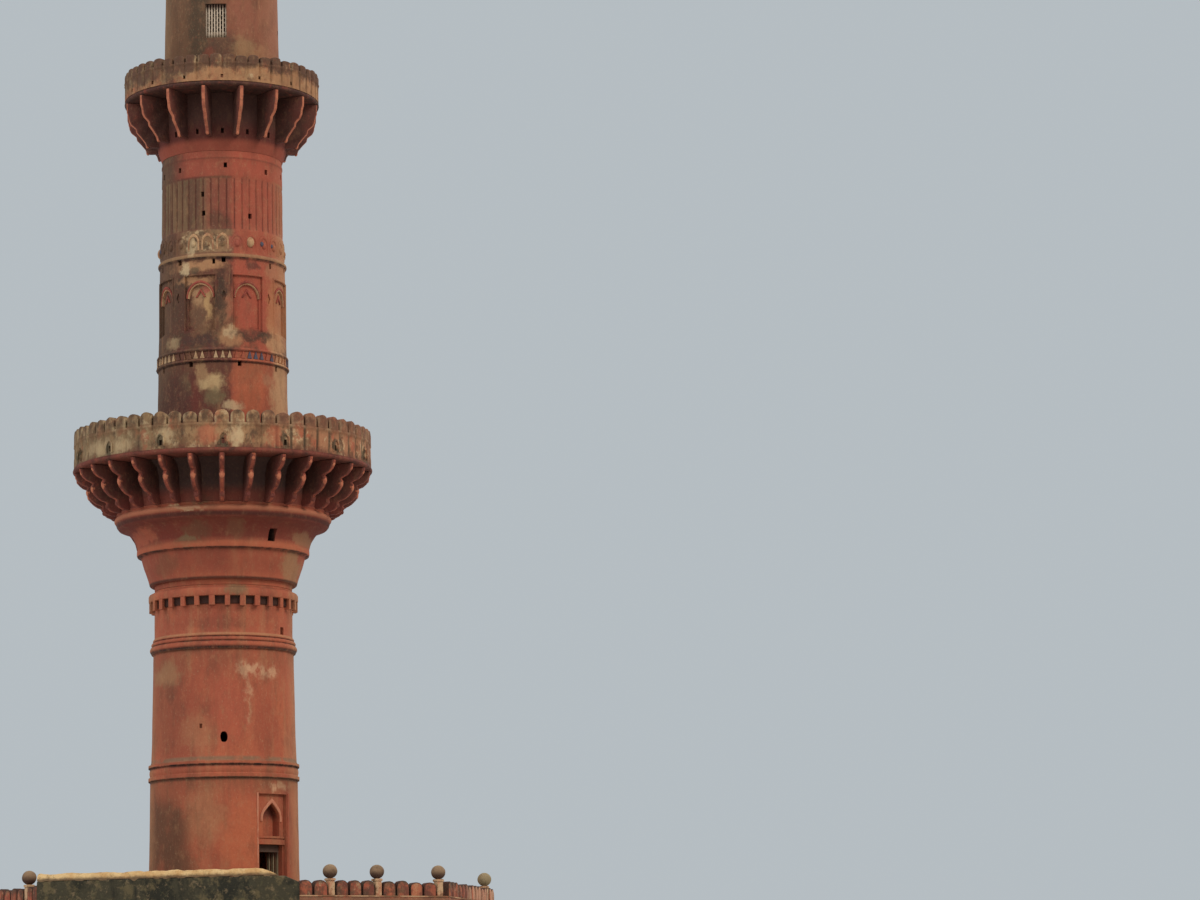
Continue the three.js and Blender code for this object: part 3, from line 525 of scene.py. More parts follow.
def storey2_coat():
    coat = Coat("storey2_plaster", MAROON)
    # The right is painted lit and the reeds on the left painted in shade.
    lit = coat.shaken(coat.across, 0.9, 0.9, 4, 0.6, 2, 71)
    carved = (coat.belt(30.08, 31.15, 0.08), coat.side(-2.1, -1.7), coat.side(0.6, 0.2))
    reeds = coat.belt(31.2, 33.6, 0.05)
    shaded = (reeds, coat.step(lit, -0.5, -1.1))
    coat.layers(
        (0.6, 0.45, 0.62, BROWN, 0.7, 2, 70), (coat.step(lit, 0.35, 0.65), (164, 82, 60), 0.9),
        # The right edge is painted tan as a rim of light.
        (coat.side(2.1, 2.75), TAN, 0.7), (coat.side(-1.7, -2.6), (92, 70, 52), 0.75),
        (2.2, 0.54, 0.70, TAN, 0.4, 10, 72), *STOREY2_FOOT_SPOTS,
        (1.3, 0.40, 0.60, DARK_BROWN, 0.75, 1, 73, coat.belt(25.5, 26.4, 0.12)),
        *STOREY2_WALL_SPOTS,
        # A painted highlight along the torus.
        (coat.belt(29.84, 30.02, 0.03), OCHRE, 0.7), (*carved, (142, 110, 78), 0.85),
        (1.9, 0.52, 0.62, CREAM, 0.6, 1, 75, *carved), (1.7, 0.50, 0.60, DARK_BROWN, 0.8, 1, 76, *carved),
        (0.55, 30.6, 0.3, 0.4, (156, 80, 64), 0.8), (-1.5, 30.5, 0.2, 0.45, CREAM, 0.7),
        (reeds, (158, 84, 64), 0.5), (*shaded, (92, 70, 52), 0.8),
        (1.2, 0.46, 0.56, (130, 100, 70), 0.6, 5, 78, *shaded),
        (1.4, 0.50, 0.60, OLIVE, 0.6, 6, 74, reeds, coat.side(-0.3, -1.5)),
        # Painted shade in the grooves between the reeds.
        (reeds, coat.stripes(REEDS, 0, 0.55), (86, 44, 36), 0.75),
        (-0.2, 31.6, 0.5, 0.5, DARK_BROWN, 0.6), (1.4, 32.6, 0.9, 1.0, BRICK_RED, 0.5),
        (coat.rise(33.6, 33.75), coat.side(-2.4, -1.6), BRICK_RED, 0.8),
        (coat.belt(34.50, 34.56, 0.04), MAROON, 0.4))
    # Painted shade under the rings and the torus, with a brown run of grime under the lower rings, and painted
    # shade in the upper doorway and the holes.
    coat.ledges((24.98, 0.14, 0.95), (25.5, 0.1, 0.8), (29.84, 0.18, 0.95), (24.9, 0.9, 0.3))
    return coat.hollow(20.5, 25.1, 2.75).hollow(29.4, 34.6, 2.68).plaster(1.0, 80).finish()


def storey3_coat(name):
    coat = Coat(name, (142, 86, 64))
    coat.layers(
        (coat.side(0.3, -0.7), (104, 80, 58), 0.8), (0.6, 0.44, 0.62, BROWN, 0.7, 2.5, 90),
        (1.6, 0.50, 0.68, DARK_BROWN, 0.65, 7, 91), (1.1, 0.56, 0.70, TAN, 0.6, 2, 92),
        (-1.1, 41.2, 0.45, 2.6, (78, 62, 46), 0.85), (0.0, 39.9, 0.7, 0.6, (92, 66, 52), 0.8),
        (1.1, 39.9, 0.6, 0.6, OCHRE, 0.8), (2.2, 39.6, 0.6, 0.5, TAN, 0.6),
        (-0.6, 39.6, 0.3, 0.3, DEEP_RED, 0.5), (1.1, 41.4, 0.7, 1.0, (150, 92, 70), 0.7),
        # The right and left edges are painted lighter as rims of light.
        (coat.side(1.5, 2.3), (160, 106, 80), 0.7),
        (coat.side(-2.2, -2.6), OCHRE, 0.5))
    return coat.plaster(1.0, 95).finish()


def dark_stone_coat():
    """Rubble blackened by lichen."""
    return Coat("dark_masonry", (64, 58, 43)).layers(
        (0.9, 0.46, 0.60, BLACKENED, 0.85), (1.6, 0.50, 0.62, (98, 84, 58), 0.8, 1, 5, 0.7),
        (3.2, 0.56, 0.66, (120, 100, 74), 0.7, 1, 7, 0.7), (5, 0.56, 0.70, MOSS, 0.6, 1, 9, 0.7),
        (11, 0.60, 0.70, (136, 120, 92), 0.55, 1, 13, 0.7), (1.4, 0.56, 0.72, (28, 26, 22), 0.7, 5, 17)
    ).lumps((1.3, 4, 0.6, 0.16, 0.7), (6, 5, 0.7, 0.06, 0.8, 3)).finish(0.95)


def lime_coat():
    """The crumbly pale capping, straw coloured on top and dirty where it meets the wall."""
    coat = Coat("lime_capping", LIME)
    ragged = coat.math("ADD", coat.height, coat.both(coat.noise(3, 5, 0.7, 1, 11), 0.2))
    coat.layers(
        (1.1, 0.42, 0.62, (190, 142, 88), 0.8, 1, 2), (4.5, 0.50, 0.68, (146, 112, 70), 0.7, 1, 5, 0.7),
        (9, 0.58, 0.70, (94, 80, 52), 0.7, 1, 8, 0.7), (coat.step(ragged, 1.44, 1.30), DARK_BROWN, 0.85))
    return coat.lumps((3, 5, 0.7, 0.1, 0.8), (14, 4, 0.7, 0.03, 0.8, 3)).finish(0.95)


def ball_coat():
    """Brown stone, with painted shade underneath and a painted highlight on top."""
    coat = Coat("ball_stone", (134, 106, 80))
    coat.layers(
        (2.4, 0.46, 0.66, (92, 68, 52), 0.8), (6, 0.56, 0.70, STONE, 0.6, 1, 4),
        (coat.rise(1.5, 1.2), (66, 42, 33), 0.9), (coat.rise(1.5, 1.7), (152, 128, 98), 0.5),
        (coat.side(10.5, 11.5), (150, 132, 98), 0.7))
    return coat.lumps((9, 4, 0.65, 0.03, 0.8)).finish()


def fence_coat():
    coat = red_coat("podium_parapet_plaster", 110)
    coat.layers(
        (1.0, 0.46, 0.56, MAROON, 0.85, 1, 111), (1.6, 0.46, 0.60, DARK_BROWN, 0.8, 1, 112),
        (2.6, 0.56, 0.70, CREAM, 0.6, 1.5, 113, 0.7), (coat.rise(0.30, 0.24), (140, 98, 74), 0.7),
        (1.3, 0.34, 0.58, LICHEN, 0.8, 1, 114, coat.rise(0.78, 0.98)), (coat.rise(0.18, -0.05), STONE, 0.7),
        (1.6, 0.36, 0.52, (192, 146, 116), 0.75, 4, 116, coat.side(10.6, 11.1)))
    return coat.plaster(1.1, 115).finish()


def screen_coat():
    """Pale window bars, brown in the shade of the opening's top and grimy at the foot."""
    coat = Coat("screen_stucco", (198, 176, 152))
    coat.layers(
        (3.5, 0.50, 0.70, OLIVE, 0.45, 1.3), (9, 0.54, 0.70, BROWN, 0.4, 1.3, 4),
        (coat.rise(41.56, 41.82), (70, 42, 32), 0.9), (coat.rise(40.52, 40.34), (112, 92, 68), 0.7))
    return coat.lumps((16, 4, 0.65, 0.02, 0.7)).finish()


def door_stone_coat():
    """Grey stone jambs, painted dark red at the top for the shade under the lintel."""
    coat = Coat("door_stone", (128, 112, 88))
    coat.layers((1.5, 0.44, 0.64, DARK_BROWN, 0.7, 1.3), (6, 0.50, 0.70, STONE, 0.6, 1.3, 4),
                (coat.rise(2.2, 2.7), (74, 50, 44), 0.85))
    return coat.lumps((16, 4, 0.65, 0.02, 0.7)).finish()


# The colour of each plain finish and its clouds of another colour
SPECKLED = {
    "cream_stucco": ((196, 178, 146), (3.5, 0.50, 0.70, OLIVE, 0.45), (9, 0.54, 0.7, BROWN, 0.4)),
    "pale_plaster": ((190, 122, 94), (2.5, 0.46, 0.66, TERRACOTTA, 0.7), (8, 0.52, 0.7, CREAM, 0.4)),
    # The bracket edges are painted brighter than the brackets, as their lit fronts.
    "lit_bracket_edge": ((150, 76, 58), (1.6, 0.44, 0.62, (96, 48, 40), 0.85), (5, 0.5, 0.66, ORANGE_RED, 0.6)),
    "light_arch": ((186, 144, 104), (1.4, 0.46, 0.60, (140, 92, 66), 0.8), (7, 0.5, 0.7, BRICK_RED, 0.5)),
    "dark_arch": ((150, 72, 58), (1.4, 0.46, 0.62, (104, 50, 40), 0.85), (7, 0.5, 0.7, TAN, 0.4)),
    "slate_paint": ((82, 80, 92), (5, 0.50, 0.68, MAROON, 0.6), (11, 0.54, 0.7, BROWN, 0.5)),
    "triangle_cream": ((180, 146, 110), (1.6, 0.46, 0.60, TAN, 0.7), (6, 0.5, 0.66, BROWN, 0.7)),
    # The merlon cores show at the merlons' sides, painted dark as the shade in the gaps.
    "shaded_merlon_core": ((74, 48, 38), (1.5, 0.46, 0.62, LICHEN, 0.8), (4, 0.52, 0.68, DEEP_RED, 0.6)),
    "parapet_ledge": ((178, 138, 104), (0.6, 0.44, 0.56, BROWN, 0.85), (4, 0.5, 0.66, TERRACOTTA, 0.6)),
    "post_plaster": ((186, 150, 114), (2, 0.48, 0.64, TERRACOTTA, 0.6), (5, 0.50, 0.62, BROWN, 0.8)),
}


def speckled_coat(name, grain=16):
    colour, *clouds = SPECKLED[name]
    coat = Coat(name, colour).layers(*((*cloud, 1.3, 4 * index) for index, cloud in enumerate(clouds)))
    return coat.lumps((grain, 4, 0.65, 0.02, 0.7), (grain / 3, 5, 0.7, 0.04, 0.6, 6)).finish()


def courses(coat, across, up, width, height, mortar, light, dark, strength):
    """Stones or flags in rows with sunk joints, coloured between two shades."""
    joined = coat.node("ShaderNodeCombineXYZ", {"X": across, "Y": up}).outputs["Vector"]
    bricks = coat.node("ShaderNodeTexBrick", {
        "Vector": joined, "Scale": 1.0, "Brick Width": width, "Row Height": height, "Mortar Size": mortar,
        "Color1": (0.1, 0.1, 0.1, 1), "Color2": (0.9, 0.9, 0.9, 1)}).outputs
    coat.layers((coat.step(bricks["Color"], 0.1, 0.9), light, strength), (bricks["Fac"], dark, 0.7))
    coat.bump(coat.math("SUBTRACT", 1.0, bricks["Fac"]), 0.04, 0.9)


def podium_coat():
    """Coursed dark stone blocks with mortar joints."""
    coat = Coat("podium_stone", (92, 80, 62))
    run = coat.both(coat.math("ARCTAN2", coat.y, coat.x), 12.5)
    courses(coat, run, coat.height, 0.8, 0.36, 0.02, (66, 58, 46), (120, 104, 80), 0.6)
    return coat.layers(
        (0.6, 0.44, 0.64, (56, 50, 38), 0.8, 2, 3), (2.6, 0.54, 0.70, STONE, 0.6, 1, 6, 0.7),
        (7, 0.58, 0.70, MOSS, 0.5, 1, 9, 0.7)).lumps((4, 5, 0.7, 0.05, 0.7)).finish(0.95)


def paving_coat():
    """Square flags with dusty joints."""
    coat = Coat("terrace_flags", STONE)
    courses(coat, coat.x, coat.y, 0.7, 0.7, 0.015, DUST, DARK_BROWN, 0.45)
    return coat.layers((0.35, 0.44, 0.66, (120, 98, 74), 0.7), (3, 0.56, 0.70, LICHEN, 0.4, 1, 4, 0.7)
                       ).lumps((8, 5, 0.7, 0.02, 0.7)).finish(0.95)


# Mesh tools, all in full-size metres above the terrace

def as_mesh(name, bm):
    """Turns a finished bmesh into a mesh with its faces looking outwards."""
    bmesh.ops.recalc_face_normals(bm, faces=bm.faces)
    mesh = bpy.data.meshes.new(name)
    bm.to_mesh(mesh)
    bm.free()
    return mesh


def keep(name, bm, material, slot, *nodes, smooth=35):
    """Turns a finished bmesh into a piece of the half-size model that stands on the root body."""
    mesh = as_mesh(name, bm)
    mesh.transform(TO_MODEL)
    for face in mesh.polygons:
        face.use_smooth = True
    mesh.set_sharp_from_angle(angle=math.radians(smooth))
    mesh.materials.append(material)
    piece = put(name, mesh)
    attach(piece, "root")
    if nodes:
        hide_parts(*nodes)


def around(count, first=0.0):
    """Evenly spread azimuths."""
    return [first + 360 / count * k for k in range(count)]


def lathe(outline, segments, relief=lambda angle, r, z: r):
    """A solid turned from an outline of (radius, height), with a relief that gives each point its radius."""
    bm = bmesh.new()
    closed = outline[0] == outline[-1]
    rings = []
    for r, z in (outline[:-1] if closed else outline):
        angles = [2 * math.pi * i / segments for i in range(segments if r else 1)]
        rings.append([bm.verts.new(polar(a, relief(a, r, z), z)) for a in angles])
    following = rings[1:] + rings[:1] if closed else rings[1:]
    for low, high in zip(rings, following):
        for i in range(segments):
            j = (i + 1) % segments
            corners = [low[i % len(low)], low[j % len(low)], high[j % len(high)], high[i % len(high)]]
            distinct = list(dict.fromkeys(corners))
            if len(distinct) > 2:
                bm.faces.new(distinct)
    return bm


def turned(profile, inner, segments, relief, step=0.3):
    """A solid turned from the profile of its outside, with an upright well of the inner radius."""
    points = finer(profile, step)
    outline = [*points, (inner, points[-1][1]), (inner, points[0][1]), points[0]]
    return lathe(outline, segments, relief)


def finer(profile, step=0.25, parts=None):
    """The same line with its stretches divided into steps or into a number of parts."""
    points = [profile[0]]
    for (r0, z0), (r1, z1) in zip(profile, profile[1:]):
        count = parts or max(1, math.ceil(math.hypot(r1 - r0, z1 - z0) / step))
        points += [(r0 + (r1 - r0) * k / count, z0 + (z1 - z0) * k / count) for k in range(1, count + 1)]
    return points


def bead(r0, z0, r1, z1, bulge, steps=6):
    """Points of a rounded moulding between two places on the wall."""
    return [(r0 + (r1 - r0) * k / steps + bulge * math.sin(math.pi * k / steps), z0 + (z1 - z0) * k / steps)
            for k in range(steps + 1)]


def smooth_line(points, steps=4):
    """A soft curve through a few points of (radius, height)."""
    ends = [points[0], *points, points[-1]]
    line = []
    for four in zip(ends, ends[1:], ends[2:], ends[3:]):
        for k in range(steps):
            t = k / steps
            line.append(tuple(0.5 * (2 * b + (c - a) * t + (2 * a - 5 * b + 4 * c - d) * t * t
                                     + (3 * b - a - 3 * c + d) * t ** 3) for a, b, c, d in zip(*four)))
    return [*line, points[-1]]


def uneven(amount, scale=0.9, seed=0.0):
    """A relief of hand-laid plaster: gentle swells with a few chips."""
    def relief(angle, r, z):
        if r < 1.0:
            return r
        x, y, z = polar(angle, r, z)
        swell = noise.noise(Vector((x * scale + seed, y * scale, z * scale)))
        chip = noise.noise(Vector((x * 4 + seed, y * 4, z * 4)))
        return r + amount * swell + 0.35 * amount * chip - amount * max(0.0, chip - 0.45) * 3
    return relief


def skin(bm, layers):
    """Joins outlines with as many points into a closed body."""
    made = [[bm.verts.new(point) for point in layer] for layer in layers]
    for low, high in zip(made, made[1:]):
        for i in range(len(low)):
            j = (i + 1) % len(low)
            bm.faces.new((low[i], low[j], high[j], high[i]))
    bm.faces.new(made[0][::-1])
    bm.faces.new(made[-1])


def wrap(bm, azimuth, radius, layers):
    """A body from outlines of (metres round the wall, height, distance from the axis), bent round the wall."""
    a = math.radians(azimuth)
    skin(bm, [[polar(a + x / radius, far, z) for x, z, far in layer] for layer in layers])


def at(shape, x):
    """The shape at x where it is a function of x, and otherwise the shape itself."""
    return shape(x) if callable(shape) else shape


def panel(bm, azimuth, radius, near, far, xs, bottom, top):
    """A bent slab between two distances from the axis, with its edges given as numbers or functions of x."""
    wrap(bm, azimuth, radius, [((x, at(bottom, x), near), (x, at(bottom, x), far), (x, at(top, x), far),
                                (x, at(top, x), near)) for x in xs])


def strip(bm, azimuth, radius, outer, inner, near, far):
    """A moulding that follows two lines with as many points, with a rounded front."""
    wrap(bm, azimuth, radius, [
        ((xo, zo, near), (xo, zo, far - 0.02), ((xo + xi) / 2, (zo + zi) / 2, far), (xi, zi, far - 0.02),
         (xi, zi, near)) for (xo, zo), (xi, zi) in zip(outer, inner)])


def spread(width, count):
    """Places from -width/2 to width/2 that crowd towards both ends."""
    return [-width / 2 * math.cos(math.pi * k / count) for k in range(count + 1)]


def evenly(width, count):
    return [width * (k / count - 0.5) for k in range(count + 1)]


def arch_top(width, spring, apex):
    """The height of a pointed arch over its width."""
    half = width / 2
    rise = apex - spring
    radius = (rise * rise + half * half) / (2 * half)

    def height(x):
        reach = abs(x) + radius - half
        return spring + math.sqrt(max(0.0, radius * radius - reach * reach))
    return height


def ogee_top(width, spring, apex):
    """The top edge of an arch that is round at its shoulders and drawn out to a point."""
    def height(x):
        u = min(1.0, 2 * abs(x) / width)
        return spring + (apex - spring) * (0.76 * math.sqrt(1 - u * u) + 0.24 * max(0.0, 1 - u / 0.6) ** 1.3)
    return height


def arch_line(width, foot, spring, apex, steps, kind=arch_top):
    """Points up one side of an arch, over its point and down the other side."""
    top = kind(width, spring, apex)
    return [(-width / 2, foot), *((x, top(x)) for x in spread(width, 2 * steps)), (width / 2, foot)]


def carve(body, *cutters):
    """Takes closed cutters away from a closed body, one after another."""
    for cutter in cutters:
        carved, tool = (put("carved", as_mesh("carved", part)) for part in (body, cutter))
        cut = carved.modifiers.new("cut", "BOOLEAN")
        cut.operation = "DIFFERENCE"
        cut.solver = "EXACT"
        cut.object = tool
        graph = bpy.context.evaluated_depsgraph_get()
        result = bpy.data.meshes.new_from_object(carved.evaluated_get(graph))
        body = bmesh.new()
        body.from_mesh(result)
        for spare in (carved, tool):
            old = spare.data
            bpy.data.objects.remove(spare)
            bpy.data.meshes.remove(old)
        bpy.data.meshes.remove(result)
    return body


def fin(bm, side, azimuth, width, nose=0.35):
    """A bracket from its side view, with its front edge narrowed to a rounded nose."""
    out, across = heading(azimuth)
    back = min(r for r, z in side)
    layers = []
    for offset, pull in ((-0.5, 0.05), (-0.5 + nose * 0.5, 0.0), (0.5 - nose * 0.5, 0.0), (0.5, 0.05)):
        aside = across * width * offset
        shape = [(r - (pull if r > back + 0.01 else 0), z) for r, z in side]
        layers.append([out * r + aside + Vector((0, 0, z)) for r, z in shape])
    skin(bm, layers)


def sliver(edge, proud):
    """The side view of a thin layer along the front of a bracket."""
    return [(r + proud, z) for r, z in edge] + [(r - 0.03, z) for r, z in reversed(edge)]


def knob(bm, centre, size, squash=1.0, segments=12):
    turn = Matrix.Translation(centre) @ Matrix.Diagonal((size, size, size * squash, 1))
    bmesh.ops.create_uvsphere(bm, u_segments=segments, v_segments=segments * 2 // 3, radius=1.0, matrix=turn)


def knob_at(bm, azimuth, radius, z, *shape):
    knob(bm, polar(math.radians(azimuth), radius, z), *shape)


# First storey

STOREY1_INNER = 2.3
STOREY1_TOP = 14.69
WAIST_RADIUS, NECK_RADIUS = 3.3, 3.15
# How far from the axis the first storey's cutters start and end, and where its blind recesses start
INSIDE1, OUTSIDE1 = 1.8, 4.2
RECESS_BACK, DOOR_NICHE_BACK, HOLE1_BACK = 3.2, 2.83, 3.12
DOOR_NICHE_OUTSIDE = 3.9
DOOR = -90
DOOR_WIDTH, DOOR_HEIGHT = 1.56, 3.0
DOOR_CUT_FOOT, RECESS_CUT_FOOT = -0.4, -0.6
DOOR_FRAME_WIDTH, DOOR_FRAME_TOP = 1.70, 5.25
DOOR_RADIUS = 3.4
DOOR_NICHE_WIDTH, DOOR_NICHE_SILL, DOOR_NICHE_SPRING, DOOR_NICHE_APEX = 1.07, 3.35, 4.13, 4.83
OVAL_HEIGHT, OVAL_WIDTH, OVAL_HALF_HEIGHT = 7.79, 0.34, 0.245
SLIT_AZIMUTHS = (-74.5, 105.5)
SLIT_WIDTH, SLIT_BOTTOM, SLIT_TOP = 0.27, 12.53, 12.87
HOLES1 = ((-150, 8.2), (30, 8.2), (75, 8.9))
HOLE1_WIDTH, HOLE1_HEIGHT = 0.14, 0.2
DENTILS, DENTIL_WIDTH, DENTIL_FOOT, DENTIL_TOP = 30, 0.24, 13.73, 14.2
DENTIL_REACH = (3.15, 3.395)
# How far from the axis the mouldings round the doorway start and end
STRIP_REACH, LINTEL_REACH, SILL_REACH = (3.2, 3.43), (3.0, 3.28), (3.0, 3.25)
NICHE_REACH, LEFT_STRIP_REACH = (3.12, 3.255), (3.2, 3.415)
LINTEL_FOOT, LINTEL_TOP, SILL_FOOT, SILL_TOP = 2.99, 3.2, 3.27, 3.36
# Width, foot, spring and apex of the moulding round the niche over the door
DOOR_ARCH_OUTER, DOOR_ARCH_INNER = (1.36, 4.02, 4.13, 5.06), (1.11, 4.02, 4.11, 4.87)
JAMB_FOOT, JAMB_TOP, JAMB_DEPTH, HEAD_TOP = 0.01, 2.67, 0.12, 2.985
# The outer distance, width and inset of each step of the door's jambs
JAMB_STEPS = ((2.62, 0.10, 0.24), (2.80, 0.08, 0.15), (2.98, 0.06, 0.06))


def storey1_profile():
    shaft = [(3.46, 0.005), (3.44, 0.25), (3.40, 2.0), (3.35, 5.92)]
    ring = [(3.355, 5.96), (3.425, 5.985), (3.43, 6.06), (3.425, 6.15), (3.36, 6.18),
            *bead(3.35, 6.2, 3.35, 6.54, 0.03), (3.355, 6.56), (3.42, 6.58), (3.425, 6.65), (3.42, 6.72),
            (3.33, 6.76), (3.30, 6.84)]
    waist = [(3.262, 8.0), (3.20, 11.72)]
    triple = [(3.20, 11.74), (3.29, 11.80), *bead(3.30, 11.84, 3.30, 12.12, 0.06),
              *bead(3.24, 12.14, 3.25, 12.32, 0.05), *bead(3.18, 12.34, 3.17, 12.50, 0.05), (3.15, 12.54)]
    crown = [(3.15, 13.80), (3.16, 13.82), (3.21, 13.84), (3.21, 14.16), (3.40, 14.18), (3.42, 14.24),
             (3.42, 14.44), (3.38, 14.52), (3.30, 14.56), (3.14, 14.60), (3.13, STOREY1_TOP)]
    return shaft + ring + waist + triple + crown


def oval_half(x):
    return OVAL_HALF_HEIGHT * max(0.02, 1 - (2 * abs(x) / OVAL_WIDTH) ** 2.6) ** 0.45


def build_storey1(coat):
    cut, recess, niche = bmesh.new(), bmesh.new(), bmesh.new()
    panel(cut, DOOR, DOOR_RADIUS, INSIDE1, OUTSIDE1, evenly(DOOR_WIDTH, 6), DOOR_CUT_FOOT, DOOR_HEIGHT)
    for azimuth in (FACE, FACE + 180):
        panel(cut, azimuth, WAIST_RADIUS, INSIDE1, OUTSIDE1, spread(OVAL_WIDTH, 10),
              lambda x: OVAL_HEIGHT - oval_half(x), lambda x: OVAL_HEIGHT + oval_half(x))
    for azimuth in SLIT_AZIMUTHS:
        panel(cut, azimuth, NECK_RADIUS, INSIDE1, OUTSIDE1, evenly(SLIT_WIDTH, 2), SLIT_BOTTOM, SLIT_TOP)
    panel(recess, DOOR, DOOR_RADIUS, RECESS_BACK, OUTSIDE1, evenly(DOOR_FRAME_WIDTH, 10), RECESS_CUT_FOOT,
          DOOR_FRAME_TOP)
    panel(niche, DOOR, DOOR_RADIUS, DOOR_NICHE_BACK, DOOR_NICHE_OUTSIDE, spread(DOOR_NICHE_WIDTH, 20),
          DOOR_NICHE_SILL, ogee_top(DOOR_NICHE_WIDTH, DOOR_NICHE_SPRING, DOOR_NICHE_APEX))
    for azimuth, height in HOLES1:
        panel(niche, azimuth, WAIST_RADIUS, HOLE1_BACK, OUTSIDE1, evenly(HOLE1_WIDTH, 2), height,
              height + HOLE1_HEIGHT)
    body = turned(storey1_profile(), STOREY1_INNER, WIDE_RING, uneven(0.012, 0.7, 3))
    parts = ("door_left", "door_right", "over_door", "right", "back", "left")
    keep("storey1_masonry", carve(body, cut, recess, niche), coat, "red_plaster",
         *(f"storey1_wall_{part}" for part in parts))


def build_dentils(coat):
    bm = bmesh.new()
    for azimuth in around(DENTILS, FACE + 3):
        wide = DENTIL_WIDTH + random.uniform(-0.03, 0.03)
        low = DENTIL_FOOT + random.uniform(-0.02, 0.04)
        panel(bm, azimuth, WAIST_RADIUS, *DENTIL_REACH, evenly(wide, 3), low, DENTIL_TOP)
    keep("neck_dentils", bm, coat, "red_plaster")


def build_door_surround(coat):
    """The lintel and the strip at the doorway's right."""
    bm = bmesh.new()
    outer, inner = DOOR_FRAME_WIDTH / 2 + 0.19, DOOR_FRAME_WIDTH / 2 + 0.05
    top = DOOR_FRAME_TOP + 0.04
    strip(bm, DOOR, DOOR_RADIUS, finer([(outer, top), (outer, 0.0)]), finer([(inner, top), (inner, 0.0)]),
          *STRIP_REACH)
    lintel = evenly(DOOR_FRAME_WIDTH - 0.02, 10)
    panel(bm, DOOR, DOOR_RADIUS, *LINTEL_REACH, lintel, LINTEL_FOOT, LINTEL_TOP)
    panel(bm, DOOR, DOOR_RADIUS, *SILL_REACH, lintel, SILL_FOOT, SILL_TOP)
    keep("door_surround", bm, coat, "red_plaster")


def build_door_mouldings(coat):
    """The pale mouldings round the niche and at the doorway's left."""
    bm = bmesh.new()
    outer, inner = -DOOR_FRAME_WIDTH / 2 - 0.09, -DOOR_FRAME_WIDTH / 2 - 0.01
    top = DOOR_FRAME_TOP + 0.04
    strip(bm, DOOR, DOOR_RADIUS, arch_line(*DOOR_ARCH_OUTER, 8, ogee_top),
          arch_line(*DOOR_ARCH_INNER, 8, ogee_top), *NICHE_REACH)
    strip(bm, DOOR, DOOR_RADIUS, finer([(outer, 0.0), (outer, top)]), finer([(inner, 0.0), (inner, top)]),
          *LEFT_STRIP_REACH)
    keep("door_mouldings", bm, coat, "red_plaster")


def build_door_jambs(coat):
    """The stepped stone jambs inside the doorway, and the head that lies on them."""
    bm = bmesh.new()
    panel(bm, DOOR, DOOR_RADIUS, 2.86, 2.98, evenly(DOOR_WIDTH - 0.01, 6), JAMB_TOP - 0.01, HEAD_TOP)
    for side in (-1, 1):
        for far, width, inset in JAMB_STEPS:
            x = side * (DOOR_WIDTH / 2 - inset)
            panel(bm, DOOR, DOOR_RADIUS, far - JAMB_DEPTH, far, [x - width / 2, x, x + width / 2], JAMB_FOOT,
                  JAMB_TOP)
    keep("door_jambs", bm, coat, "cream_stucco")


# First balcony

CAPITAL_HOLLOW, CAPITAL_RADIUS, CAPITAL_OUTSIDE = 2.3, 4.2, 6.0
WINDOWS, WINDOW_WIDTH, WINDOW_BOTTOM, WINDOW_TOP = around(3, -98.5), 0.40, 16.62, 17.18
WIDE_RING, SLIM_RING = 216, 192
# Width, foot, spring and apex of the hood round a drain, and where it starts and ends from the axis
HOOD_OUTER, HOOD_INNER, HOOD_REACH = (0.42, 20.5, 20.82, 21.1), (0.28, 20.5, 20.8, 21.0), (6.78, 6.885)
HOOD_RADIUS = 6.84
# The radius, bottom and top of each balcony's floor
SLAB1, SLAB2, SLAB3 = (6.90, 20.17, 20.375), (4.55, 37.562, 37.758), (3.56, 48.802, 48.978)
# Each parapet's radius, thickness, foot, crest, merlons' top, number of merlons and first merlon's azimuth
PARAPET1 = (6.82, 0.32, 20.385, 21.52, 22.13, 60, -132)
PARAPET2 = (4.52, 0.28, 37.765, 38.70, 39.07, 48, -127.5)
PARAPET3 = (3.52, 0.24, 48.985, 49.72, 50.09, 24, -123.75)
# The number, width, bottom and top of each parapet's drains
DRAINS1, DRAINS2, DRAINS3 = (15, 0.14, 20.55, 20.8), (16, 0.12, 37.9, 38.06), (8, 0.12, 49.1, 49.24)
BRACKETS1, BRACKET1_WIDTH = around(30, -96), 0.25
# How far the front edge of a bracket, painted bright as a highlight, stands out, its width and its nose
EDGE1_PROUD, EDGE1_WIDTH, EDGE1_NOSE = 0.012, 0.18, 0.2
# The distance from the axis, height, size and squash of the knobs on a bracket's foot and front
FOOT_KNOB, FRONT_KNOBS = (5.48, 18.47, 0.12), ((6.16, 19.26, 0.135, 1.5), (6.68, 19.96, 0.115, 1.1))
BRACKET1_SIDE = [
    (4.75, 18.20), (5.18, 18.20), (5.36, 18.26), (5.50, 18.38), (5.56, 18.50), (5.53, 18.60), (5.60, 18.66),
    (5.80, 18.72), (5.98, 18.84), (6.14, 19.0), (6.25, 19.2), (6.26, 19.38), (6.18, 19.50), (6.30, 19.56),
    (6.50, 19.64), (6.66, 19.78), (6.76, 19.94), (6.80, 20.14), (4.75, 20.14),
]


